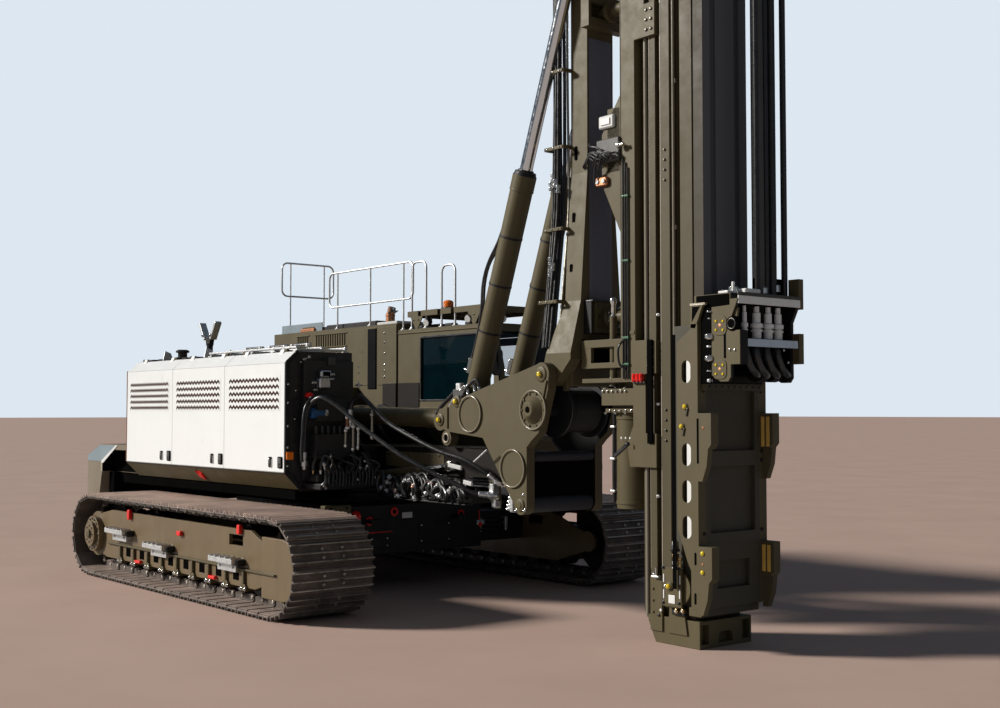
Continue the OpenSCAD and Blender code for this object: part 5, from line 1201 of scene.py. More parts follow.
def make_mast_hoses():
    """Bundle of hoses up the mast's right side, in clamps."""
    h = Piece("mast_hoses", "mast", "black_parts")
    # X at the foot, X at the top, Y, radius, material
    runs = [
        (4.015, 4.055, -0.205, 0.017, "rubber"), (3.975, 4.015, -0.215, 0.019, "rubber"),
        (3.93, 3.975, -0.205, 0.017, "rubber"), (3.885, 3.935, -0.22, 0.013, "rubber"),
        (3.99, 4.035, -0.262, 0.015, "rubber"), (3.945, 3.995, -0.258, 0.015, "rubber"),
        (3.85, 3.9, -0.2, 0.01, "rubber"), (4.07, 4.085, -0.19, 0.012, "pipe_steel"),
    ]
    for k, (xa, xb, y, r, mat) in enumerate(runs):
        pts = []
        for i in range(13):
            t = i / 12
            z = 2.62 + t * 4.2
            pts.append((xa + (xb - xa) * t + 0.008 * math.sin(5 * t + k),
                        y - lean_in(z) - 0.004 * math.sin(9 * t + 2 * k), z))
        h.tube(curve(pts, 3), r, mat)
    for z in (3.04, 3.75, 4.55, 5.3, 6.1, 6.7):
        y = -0.285 - lean_in(z)
        h.box((3.83, y, z), (4.11, y + 0.017, z + 0.035), "olive_paint", 0.005)
        h.box((4.09, y, z), (4.115, -0.165, z + 0.035), "olive_paint")
        h.box((3.83, y, z), (3.85, -0.18, z + 0.035), "olive_paint")
        for x in (3.87, 3.96, 4.05):
            h.bolt((x, y, z + 0.017), RIGHT, 0.008, "bright_steel", False)
    # Hose joints
    for z, x in ((3.3, 3.96), (3.36, 3.99), (3.42, 3.95), (4.18, 3.97), (4.12, 4.01), (4.24, 3.94), (4.16, 3.91)):
        h.lathe((x, -0.262 - lean_in(z), z), (0.02, 0, 1), HOSE_JOINT, "bright_steel", 14)
    h.done()


def make_carriage_trim():
    c = Piece("carriage_trim", "carriage", "olive_paint")
    out = 0.311
    for s in (-1, 1):
        face = on_y(s * out)
        y = s * out
        # Guide shoes' bolts, dark strip below them, rib
        for z0 in (2.34, 5.37, 6.2):
            for x in (5.26, 5.32):
                for k in range(3):
                    c.bolt((x, y, z0 + 0.06 + k * 0.09), (0, s, 0), 0.012, "dark_steel")
        c.box((5.262, y, 1.72), (5.33, y + s * 0.02, 2.64), "shadow_black", 0.005)
        c.box((4.93, y, 2.7), (5.095, y + s * 0.006, 2.73), c=0.002)
        # Ball-topped pins with their washers
        pin = [(0, 0.036), (0.01, 0.036), (0.012, 0.022), (0.11, 0.022), (0.125, 0.03), (0.15, 0.034),
               (0.172, 0.026), (0.182, 0.01)]
        c.lathe((4.73, s * 0.22, 2.881), UP, pin, "bright_steel")
        for z in (2.24, 2.31, 2.4, 2.455, 2.595, 2.67):
            c.lathe((4.73, s * 0.22, z - 0.006), UP, [(0, 0.046), (0.012, 0.046)], "dark_steel")
        # Right side: locking lever, red lamps on their shelf, blank buttons, rows of bolts
        if s < 0:
            c.block((4.952, y - 0.03, 1.658), (0.142, 0, 0.093), LEFT, (0.11, 0.012, 0.018), "black_parts", 0.006)
            c.ball((5.035, y - 0.035, 1.712), 0.022, "black_parts")
            for k in range(3):
                c.prism(rounded(5.115 + k * 0.045, 2.305, 0.036, 0.075, 0.012), face, 0.0, 0.05, "red_lens", 0.01)
            c.box((5.09, y - 0.03, 2.255), (5.25, y, 2.268), "black_parts", 0.003)
            for k in range(3):
                c.rod((4.93 + k * 0.055, y - 0.001, 1.765), (4.93 + k * 0.055, y - 0.012, 1.765), 0.011,
                      "blank_plate", 12)
            for k in range(6):
                c.bolt((4.6 + k * 0.06, -0.232, 2.19), RIGHT, 0.012, "bright_steel", False)
            for k in range(5):
                c.bolt((4.66 + k * 0.07, -0.202, 2.012), RIGHT, 0.01, "bright_steel", False)
    for x in (4.6, 4.73, 4.86, 4.99):
        for y in (-0.2, 0.2):
            c.bolt((x, y, 2.216), UP, 0.014, "bright_steel")
            c.bolt((x, y, 1.994), (0, 0, -1), 0.013, "bright_steel")
    # Lift cylinder's barrel: bands and port
    for z in (1.15, 1.93):
        c.lathe((4.78, 0, z), UP, [(0, 0.166), (0.002, 0.172), (0.028, 0.172), (0.03, 0.166)], n=48)
    # Hoses clamped beside the lift cylinder's barrel
    for x, yy, r, mat in ((4.6, -0.09, 0.017, "rubber"), (4.59, -0.04, 0.017, "rubber"),
                          (4.588, 0.01, 0.014, "blue_rubber"), (4.592, 0.06, 0.017, "rubber")):
        c.tube(curve([(x, yy, 1.16), (x - 0.004, yy, 1.45), (x, yy, 1.72), (x + 0.004, yy, 1.99)], 6), r, mat, 12)
    for z in (1.25, 1.55, 1.85):
        c.box((4.566, -0.115, z), (4.625, 0.085, z + 0.025), "galvanised")
    # Gimbal's disc and nut, and the upper bearing's boss
    c.lathe((4.521, 0, 2.9), AHEAD, [(0, 0.112), (0.01, 0.112), (0.014, 0.095), (0.03, 0.09), (0.032, 0.07),
                                     (0.07, 0.068), (0.074, 0.05)], "dark_steel", 36)
    c.bolt_ring((4.535, 0, 2.9), AHEAD, 0.1, 8, 0.01, "bright_steel", False, 0.5)
    c.lathe((4.521, 0, 5.84), AHEAD, [(0, 0.112), (0.012, 0.112), (0.016, 0.06), (0.1, 0.055), (0.11, 0.04)], n=36)
    # Thin pipes down the column's outer face, with green clips, and the edge flange
    for k, x in enumerate((4.965, 4.995, 5.025)):
        c.tube([(x, -out - 0.012, 2.3), (x, -out - 0.012, 3.3), (x, -out - 0.012, 4.32 - 0.05 * k)], 0.008,
               "black_parts", 8)
    for z in (2.42, 2.66, 3.36, 3.95):
        c.box((4.95, -out - 0.024, z), (5.04, -out, z + 0.022), "green_clip")
        c.bolt((4.98, -out - 0.024, z + 0.011), RIGHT, 0.005, "bright_steel", False)
    c.tube(curve([(4.98, -out - 0.014, 2.66), (4.94, -out - 0.05, 2.58), (4.95, -out - 0.05, 2.44),
                  (5.0, -out - 0.02, 2.38)], 5), 0.01, "rubber", 8)
    c.box((4.922, -out, 3.66), (4.935, -out + 0.03, 6.45), c=0.003)
    c.done()


def make_carriage_junction():
    """Hydraulic junction between the mast and the column: boxes, fittings and short hoses."""
    j = Piece("carriage_junction", "carriage", "black_parts")
    j.box((4.66, -0.34, 4.62), (4.86, -0.285, 4.74), "grey_plate", 0.012)
    j.box((4.7, -0.35, 4.65), (4.82, -0.338, 4.71), "blank_plate")
    j.box((4.63, -0.34, 4.3), (4.93, -0.3, 4.52), "engine_paint", 0.012)
    j.box((4.75, -0.311, 4.2), (4.92, -0.285, 4.8), "olive_paint", 0.006)
    rnd = random.Random(11)
    for k in range(9):
        x, z = 4.66 + k * 0.03, 4.33 + 0.02 * (k % 3)
        j.rod((x, -0.34, z), (x, -0.375, z), 0.012, "bright_steel" if k % 2 else "galvanised", 10)
        dx, dz = rnd.uniform(-0.3, -0.1), rnd.uniform(-0.3, 0.16)
        bow = [(x, -0.37, z), (x, -0.4, z - 0.01),
               (x + dx * 0.4, -0.41 + rnd.uniform(0, 0.03), z + dz * 0.2 + 0.04),
               (x + dx * 0.8, -0.37, z + dz * 0.7), (x + dx, -0.31, z + dz)]
        j.tube(curve(bow, 5), 0.0095, "rubber", 8)
    j.prism(rounded(4.7, 4.13, 0.16, 0.09, 0.03), on_y(-0.3), 0, 0.05, "copper", 0.012)
    for x in (4.66, 4.74):
        j.rod((x, -0.35, 4.13), (x, -0.362, 4.13), 0.022, "blank_plate")
    j.lathe((4.945, -0.36, 4.43), AHEAD, [(0, 0.03), (0.02, 0.03), (0.022, 0.018), (0.07, 0.018)], "bright_steel", 16)
    j.done()


# Leader, sledge, coupling head and foot

# Side view of a coupling: height, share of its radius
COUPLING = [(0, 1), (0.055, 1), (0.06, 1.25), (0.075, 1.25), (0.08, 0.9), (0.088, 0.9), (0.092, 1.3), (0.125, 1.3),
            (0.132, 0.85), (0.215, 0.85), (0.22, 0.6), (0.27, 0.6)]


def make_leader_trim():
    t = Piece("leader_trim", "leader", "galvanised")
    # Small bolted blocks on the sides
    for py in (314.7, 404.2, 496.2):
        p = seen(658.5, py, y=-0.276)
        for s in (-1, 1):
            t.block((p.x, s * 0.279, p.z), AHEAD, LEFT, (0.016, 0.012, 0.012), "blank_plate")
            t.bolt((p.x, s * 0.29, p.z), (0, s, 0), 0.006, "bright_steel", False)
    # Bolts of the rails' joints, and rail edges worn bright
    for s in (-1, 1):
        for z in (1.75, 4.05, 6.35, 8.65):
            for k in range(4):
                t.bolt((5.443, s * 0.2755, z + 0.09 * k), (0, s, 0), 0.012, "dark_steel", False)
        t.box((5.388, s * 0.2745, 0.62), (5.396, s * 0.2765, 12.5), "worn_edge", 0.0005)
        t.box((5.252, s * 0.2745, 0.62), (5.257, s * 0.2765, 12.5), "worn_edge", 0.0005)
    t.done()


def make_foot_trim():
    f = Piece("foot_trim", "leader", "olive_paint")
    y = -0.412
    # Sheave block: bolts, bright edge strips, grease cap, blank plate
    for px, py in ((663.3, 567), (679.1, 569.4), (663.3, 602), (679.1, 603.3)):
        p = seen(px, py, y=y)
        f.bolt((p.x, y, p.z), RIGHT, 0.012, "black_parts")
    for px, a, b in ((664.0, 573.8, 582.0), (664.0, 589.4, 598.3), (680.0, 575.5, 584.5), (680.0, 589.4, 599.0)):
        p, q = seen(px, a, y=y), seen(px, b, y=y)
        f.box((p.x - 0.007, y - 0.006, q.z), (p.x + 0.007, y, p.z), "blank_plate", 0.002)
    p = seen(669.7, 586.2, y=y)
    f.lathe((p.x, y, p.z), RIGHT, [(0, 0.04), (0.008, 0.04), (0.012, 0.032), (0.014, 0.03)], n=28)
    f.lathe((p.x, y - 0.012, p.z), RIGHT, [(0, 0.022), (0.012, 0.022), (0.022, 0.014), (0.026, 0.006)], "yellow_cap",
            16)
    for px in (665.2, 674.6):
        q = seen(px, 586.0, y=y)
        f.bolt((q.x, y, q.z), RIGHT, 0.01, "bright_steel")
    p, q = seen(668.8, 603.0, y=y), seen(675.2, 595.6, y=y)
    f.box((p.x, y - 0.005, p.z), (q.x, y, q.z), "blank_plate", 0.002)
    # Rope socket above the block: brass neck, collar, steel rod
    x, ry = seen(675.2, 560.0, y=-0.4).x, -0.4
    f.lathe((x, ry, 0.668), UP, [(0, 0.034), (0.012, 0.034), (0.016, 0.022), (0.03, 0.022), (0.034, 0.034),
                                 (0.06, 0.034)], "bright_steel")
    f.lathe((x, ry, 0.728), UP, [(0, 0.026), (0.03, 0.026), (0.034, 0.034), (0.062, 0.034), (0.066, 0.02),
                                 (0.085, 0.02)], "brass")
    f.lathe((x, ry, 0.812), UP, [(0, 0.04), (0.02, 0.042), (0.024, 0.034)], "black_parts")
    f.lathe((x, ry, 0.836), UP, [(0, 0.032), (0.055, 0.032), (0.07, 0.022), (0.078, 0.012), (0.195, 0.011),
                                 (0.205, 0.006)], "bright_steel")
    f.rod((x + 0.055, ry, 0.668), (x + 0.055, ry, 0.745), 0.013, "brass", 14)
    f.rod((x + 0.055, ry, 0.745), (x + 0.055, ry, 0.76), 0.018, "brass", 6)
    # Small pin with a ball, at the cheek's top
    p = seen(656.0, 572.0, y=-0.37)
    f.lathe((p.x, -0.37, 0.575), UP, [(0, 0.01), (0.075, 0.01), (0.08, 0.005)], "bright_steel", 12)
    f.ball((p.x - 0.022, -0.37, 0.595), 0.016, "bright_steel")
    f.box((p.x - 0.05, -0.385, 0.56), (p.x + 0.04, -0.345, 0.58), "galvanised", 0.005)
    # Brass fittings under the block
    for px in (675.9, 682.3):
        p = seen(px, 611.2, y=-0.4)
        f.rod((p.x, -0.345, p.z), (p.x, -0.405, p.z), 0.02, "brass", 14)
        f.rod((p.x, -0.404, p.z), (p.x, -0.412, p.z), 0.01, "blank_plate", 10)
    p = seen(678.0, 611.5, y=-0.37)
    f.box((p.x - 0.075, -0.372, p.z - 0.035), (p.x + 0.075, -0.336, p.z + 0.02), "dark_paint", 0.006)
    # Bolts of the cheek plate
    for px, py, mat in ((661.3, 610.1, "blank_plate"), (658.8, 615.0, "black_parts"), (655.5, 574.8, "black_parts")):
        p = seen(px, py, y=-0.346)
        f.lathe((p.x, -0.345, p.z), RIGHT, [(0, 0.013), (0.01, 0.013), (0.013, 0.008)], mat, 12)
    for z in (0.26, 0.36, 0.46):
        f.bolt((5.345, -0.3455, z), RIGHT, 0.01)
    f.done()


def make_sledge_trim():
    t = Piece("sledge_trim", "sledge", "olive_paint")
    half = 0.44

    def x_at(px, py):
        return seen(px, py, y=-half)

    for s in (-1, 1):
        y = s * half
        face = on_y(y)
        outward = (0, s, 0)
        # Grease caps with their small levers
        for px, py in ((685.5, 406.6), (682.2, 426.4)):
            p = x_at(px, py)
            t.lathe((p.x, y, p.z), outward, [(0, 0.03), (0.006, 0.03), (0.01, 0.024)])
            t.lathe((p.x, y + s * 0.008, p.z), outward, [(0, 0.02), (0.01, 0.02), (0.018, 0.013), (0.022, 0.006)],
                    "yellow_cap", 16)
            t.block((p.x + 0.02, y + s * 0.007, p.z - 0.045), (0.25, 0, 1), LEFT, (0.035, 0.006, 0.007), "dark_steel",
                    0.002)
        # Bright strip behind the oval holes as painted light for the sky seen through them, dark rear edge in the
        # leader's shade
        t.box((5.836, s * 0.431, 0.92), (5.884, s * 0.4375, 2.45), "blank_plate", 0.001)
        t.box((5.668, y, 0.5), (5.716, y + s * 0.0015, 2.66), "shadow_black", 0.0005)
        # Claws: slots drawn as painted shade, caps and copper plugs
        p, q = x_at(697.6, 418.5), x_at(697.6, 463.5)
        t.box((p.x - 0.01, y, q.z), (p.x + 0.01, y + s * 0.003, p.z), "shadow_black", 0.001)
        for py, h in ((559.0, 0.105), (599.0, 0.095)):
            p = x_at(695.5, py)
            t.prism(rounded(p.x, p.z, 0.022, h, 0.01), face, -0.001, 0.003, "shadow_black", 0.001)
        for py in (553.6, 572.7):
            p = x_at(702.7, py)
            t.lathe((p.x, y, p.z), outward, [(0, 0.019), (0.008, 0.019), (0.015, 0.012), (0.018, 0.005)],
                    "yellow_cap", 16)
        for px, py in ((702.7, 564.5), (703.0, 428.0)):
            p = x_at(px, py)
            t.lathe((p.x, y - s * 0.001, p.z), outward, [(0, 0.012), (0.004, 0.012)], "copper", 12)
        # Gusset at the top of the side, with a painted shade triangle in its corner and a bright edge
        a, b, c, d = x_at(690.3, 303.8), x_at(703.0, 305.0), x_at(695.0, 328.6), x_at(689.6, 328.0)
        t.prism([(d.x, d.z), (c.x, c.z), (b.x, 2.9), (a.x, 2.9)], face, -0.03, 0.0, c=0.002)
        t.prism([(d.x + 0.025, d.z + 0.05), (b.x - 0.035, 2.885), (a.x + 0.02, 2.885)], face, 0.0, 0.002,
                "shadow_black", 0.0005)
        t.box((a.x - 0.01, y, 2.895), (b.x + 0.02, y - s * 0.06, 2.915), "worn_edge", 0.003)
        # Inner faces of the claws, polished by the tools they carry; their gold colour is a painted reflection of warm
        # light on the polish
        inner = s * (half - 0.09)
        for z1, z2 in ((0.62, 0.85), (1.7, 1.96)):
            for k in range(2):
                t.box((5.985 + k * 0.055, inner, z1), (6.022 + k * 0.055, inner - s * 0.003, z2), "gold_wear", 0.001)
    # Ledge bolts and the front plate's rows of screws
    for k in range(9):
        t.bolt((5.994, -0.32 + k * 0.08, 2.212), AHEAD, 0.01, "dark_steel", False)
    for y in (-0.37, 0.37):
        for z in (0.7, 0.98, 1.58, 1.66, 2.18):
            t.bolt((5.965, y, z), AHEAD, 0.012, "dark_paint")
    t.done()


def make_coupling_trim():
    c = Piece("coupling_trim", "sledge", "galvanised")
    y = -0.41
    plate = on_y(y)

    def at_px(px, py, depth=y):
        return seen(px, py, y=depth)

    # Hinge bar with nuts along the plate's left edge
    top, low = at_px(707.8, 312), at_px(707.8, 381)
    c.rod((top.x, y + 0.02, low.z), (top.x, y + 0.02, top.z), 0.016, "black_parts", 12)
    nuts = [
        (311.7, 0.032, 0.018, "bright_steel"), (318.5, 0.022, 0.014, "bright_steel"),
        (336.5, 0.046, 0.05, "bright_steel"), (346.5, 0.03, 0.02, "galvanised"),
        (358.3, 0.046, 0.05, "bright_steel"), (371.0, 0.03, 0.016, "bright_steel"),
        (380.5, 0.024, 0.03, "galvanised"),
    ]
    for py, r, h, mat in nuts:
        p = at_px(709.0, py)
        c.lathe((p.x, y + 0.01, p.z - h / 2), UP, [(0, r * 0.8), (h * 0.2, r), (h * 0.8, r), (h, r * 0.8)], mat, 18)
    # Shaded part of the plate behind the hinge bar, and under the clamps
    p, q = at_px(711.6, 384), at_px(702.6, 305)
    c.plate(q.x - 0.02, p.z, p.x, q.z, plate, -0.001, 0.003, "shadow_black", 0.001)
    q = at_px(731.0, 305.5)
    c.prism([(5.93, q.z - 0.03), (6.06, q.z), (q.x - 0.02, q.z + 0.01), (q.x - 0.02, 2.975), (5.93, 2.975)], plate,
            -0.001, 0.003, "shadow_black", 0.001)
    # Seam beside the valve box
    p, q = at_px(724.2, 358.0), at_px(725.2, 331.0)
    c.box((p.x - 0.003, y - 0.003, p.z), (q.x + 0.003, y + 0.001, q.z), "shadow_black", 0.001)
    # Lit face plate with two rounded bolt fields
    for a, b in ((321.0, 329.9), (364.8, 373.9)):
        for px in (716.3, 723.3):
            for py in (a, b):
                p = at_px(px, py)
                c.bolt((p.x, y, p.z), RIGHT, 0.011, "yellow_cap", False)
        m = at_px(719.8, (a + b) / 2)
        c.lathe((m.x, y + 0.001, m.z), RIGHT, [(0, 0.016), (0.004, 0.016), (0.006, 0.012)], "copper", 24)
        c.prism(rounded(m.x, m.z, 0.15, 0.165, 0.05), plate, -0.001, 0.004, "olive_paint", 0.002)
    # Guide roller at the plate's upper corner
    p = at_px(732.0, 323.5)
    c.lathe((p.x, y - 0.012, p.z), LEFT, [(0, 0.052), (0.006, 0.06), (0.045, 0.06), (0.05, 0.054)], "shadow_black",
            32)
    c.ring((p.x, y - 0.011, p.z), RIGHT, 0.038, 0.046, 0.004, "dark_steel", 32)
    c.prism([(p.x - 0.055, p.z + 0.1), (p.x + 0.045, p.z + 0.13), (p.x + 0.035, p.z + 0.06),
             (p.x - 0.01, p.z + 0.075)], on_y(y + 0.02), -0.02, 0.0, "olive_paint")
    # Two bright screws of the valve box
    for px in (727.4, 732.2):
        p = at_px(px, 349.8, -0.44)
        c.lathe((p.x, y + 0.001, p.z), RIGHT, [(0, 0.011), (0.006, 0.011), (0.009, 0.007)], "bright_steel", 12)
    # Clamps and pads on the top shelf
    z0 = 2.982
    for y0, y1, x0, x1, h in ((-0.4, -0.26, 6.16, 6.27, 0.022), (-0.24, -0.05, 6.19, 6.33, 0.045)):
        c.box((x0, y0, z0 - 0.002), (x1, y1, z0 + h), "blank_plate", 0.01)
        for k in range(3):
            c.bolt((x0 + 0.03, y0 + 0.03 + k * (y1 - y0 - 0.06) / 2, z0 + h), UP, 0.01, "bright_steel")
    c.box((6.372, -0.4, 2.89), (6.384, 0.4, 2.955), "blank_plate", 0.002)
    c.box((6.372, -0.4, 2.956), (6.382, 0.4, 2.9845), "dark_steel", 0.002)
    c.box((6.372, -0.33, 2.54), (6.386, 0.36, 2.604), "shelf_blue", 0.002)
    # Dark box above the shelf, beside the pipes
    c.box((6.1, 0.115, 2.985), (6.19, 0.4, 3.15), "shadow_black", 0.006)
    for yy in (0.13, 0.27):
        c.rod((6.2, yy, 2.985), (6.2, yy, 3.08), 0.018, "blank_plate", 14)
    # Couplings on the lower shelf
    for px, r in ((747.3, 0.024), (759.4, 0.04), (770.9, 0.038), (780.8, 0.037)):
        c.lathe((6.3, seen(px, 339.0, x=6.33).y, 2.612), UP, [(h, r * k) for h, k in COUPLING], "blank_plate", 24)
    # Pipes' clamps above the head
    for px, py, h in ((763.2, 291.0, 0.055), (775.8, 289.0, 0.065), (733.0, 291.0, 0.075)):
        p = seen(px, py, x=6.21)
        c.lathe((6.21, p.y, p.z - h / 2), UP, [(0, 0.034), (0.004, 0.04), (h - 0.004, 0.04), (h, 0.034)],
                "bright_steel", 24)
    p = seen(733.3, 296, x=6.26)
    c.rod((6.26, p.y, 2.98), (6.26, p.y, 3.08), 0.014, "blank_plate", 14)
    # Lagging of the first supply pipe and hose beside the inner mast
    c.rod((6.198, 0.095, 2.985), (6.198, 0.095, 12.55), 0.04, "engine_paint", 14)
    c.rod((6.02, 0.243, 2.97), (6.02, 0.243, 12.55), 0.024, "pipe_steel", 12)
    # Hose bends under the lower shelf
    for k, (ya, r) in enumerate(((-0.24, 0.03), (-0.12, 0.034), (0.02, 0.034), (0.16, 0.03))):
        c.tube(curve([(6.31, ya, 2.56), (6.33, ya, 2.47), (6.325, ya + 0.06, 2.37), (6.3, ya + 0.16, 2.32),
                      (6.24, ya + 0.24, 2.33), (6.2, ya + 0.27, 2.42)], 6), r, "rubber", 14)
        c.lathe((6.31, ya, 2.545), UP, [(0, r * 1.1), (0.004, r * 1.3), (0.03, r * 1.3), (0.034, r)], "black_parts")
    c.box((6.11, -0.33, 2.3), (6.16, 0.36, 2.58), "shadow_black")
    for px, py in ((784.0, 350.2), (745.0, 359.0), (745.0, 363.0), (788.5, 362.6)):
        p = seen(px, py, x=6.345)
        c.bolt((6.335, p.y, p.z), AHEAD, 0.012, "bright_steel", False)
    c.done()


# Undercarriage's centre, short hydraulics, mast's foot and rails


def make_car_body_trim():
    t = Piece("car_body_trim", "undercarriage", "dark_paint")
    x = 1.249
    # Red rims of the ports in the front face, each with a plug below it
    for y, z in ((-0.29, 0.88), (0.65, 0.81), (-0.62, 0.79)):
        t.lathe((x, y, z), AHEAD, [(0, 0.05), (0.01, 0.052), (0.016, 0.046), (0.016, 0.026), (0.002, 0.024)],
                "red_paint", 24)
        t.lathe((x + 0.001, y, z), AHEAD, [(0, 0.025), (0.003, 0.024)], "shadow_black")
        t.lathe((x, y, z - 0.062), UP, [(0, 0.01), (0.014, 0.01)], "dark_steel", 10)
    # Pull ring on its strap, red stripe
    t.box((x, 0.922, 0.69), (x + 0.006, 0.936, 0.84), "red_paint", 0.002)
    t.ball((x + 0.014, 0.929, 0.672), 0.028, "red_paint")
    t.box((x, -0.87, 0.654), (x + 0.005, -0.31, 0.666), "red_paint", 0.001)
    # Blank plates and cover plates with their screws
    t.box((x, -0.18, 0.8), (x + 0.006, -0.04, 0.865), "blank_plate", 0.002)
    for y0, y1, z0, z1 in ((-0.62, -0.36, 0.48, 0.62), (0.05, 0.5, 0.5, 0.74)):
        t.box((x - 0.001, y0, z0), (x + 0.01, y1, z1))
        for yy in (y0 + 0.03, y1 - 0.03):
            for zz in (z0 + 0.03, z1 - 0.03):
                t.bolt((x + 0.01, yy, zz), AHEAD, 0.01, "bright_steel", False)
    p = seen(480, 522, x=x)
    t.box((x, p.y - 0.055, p.z - 0.03), (x + 0.02, p.y + 0.055, p.z + 0.03), "galvanised", 0.006)
    # Lamp in its bracket beside the right track
    t.box((1.2, -1.22, 0.862), (1.3, -0.88, 0.985), "olive_paint", 0.008)
    for y in (-1.15, -0.95):
        t.bolt((1.3, y, 0.955), AHEAD, 0.012, "shadow_black", False)
    t.lathe((1.285, -0.875, 0.85), LEFT, [(0, 0.03), (0.004, 0.06), (0.05, 0.072), (0.085, 0.06), (0.105, 0.03),
                                          (0.11, 0.005)], "red_lens")
    # Hydraulic lines to the tracks, along the axle
    for s in (-1, 1):
        for k in range(3):
            z = 0.6 + 0.05 * k
            t.tube(curve([(1.16, s * 0.55, z), (1.2, s * 0.8, z + 0.01), (1.165, s * 1.1, z),
                          (1.15, s * 1.5, z - 0.01), (1.14, s * 1.685, z - 0.01)], 6), 0.014, "rubber", 8)
        for y in (0.98, 1.38):
            t.box((1.125, s * y, 0.57), (1.185, s * (y + 0.04), 0.74), "galvanised")
    t.done()


def add_fitting(piece, rnd, place, reach, length, radius, mats, nut):
    """Short fitting that points at random, with a nut round its middle; ranges are given for what is drawn."""
    d = Vector([rnd.uniform(-a, a) for a in reach]).normalized() * rnd.uniform(*length)
    p = Vector(place)
    piece.rod(p - d, p + d, rnd.uniform(*radius), rnd.choice(mats), 10)
    piece.rod(p - d * 0.3, p + d * 0.3, *nut, 6)


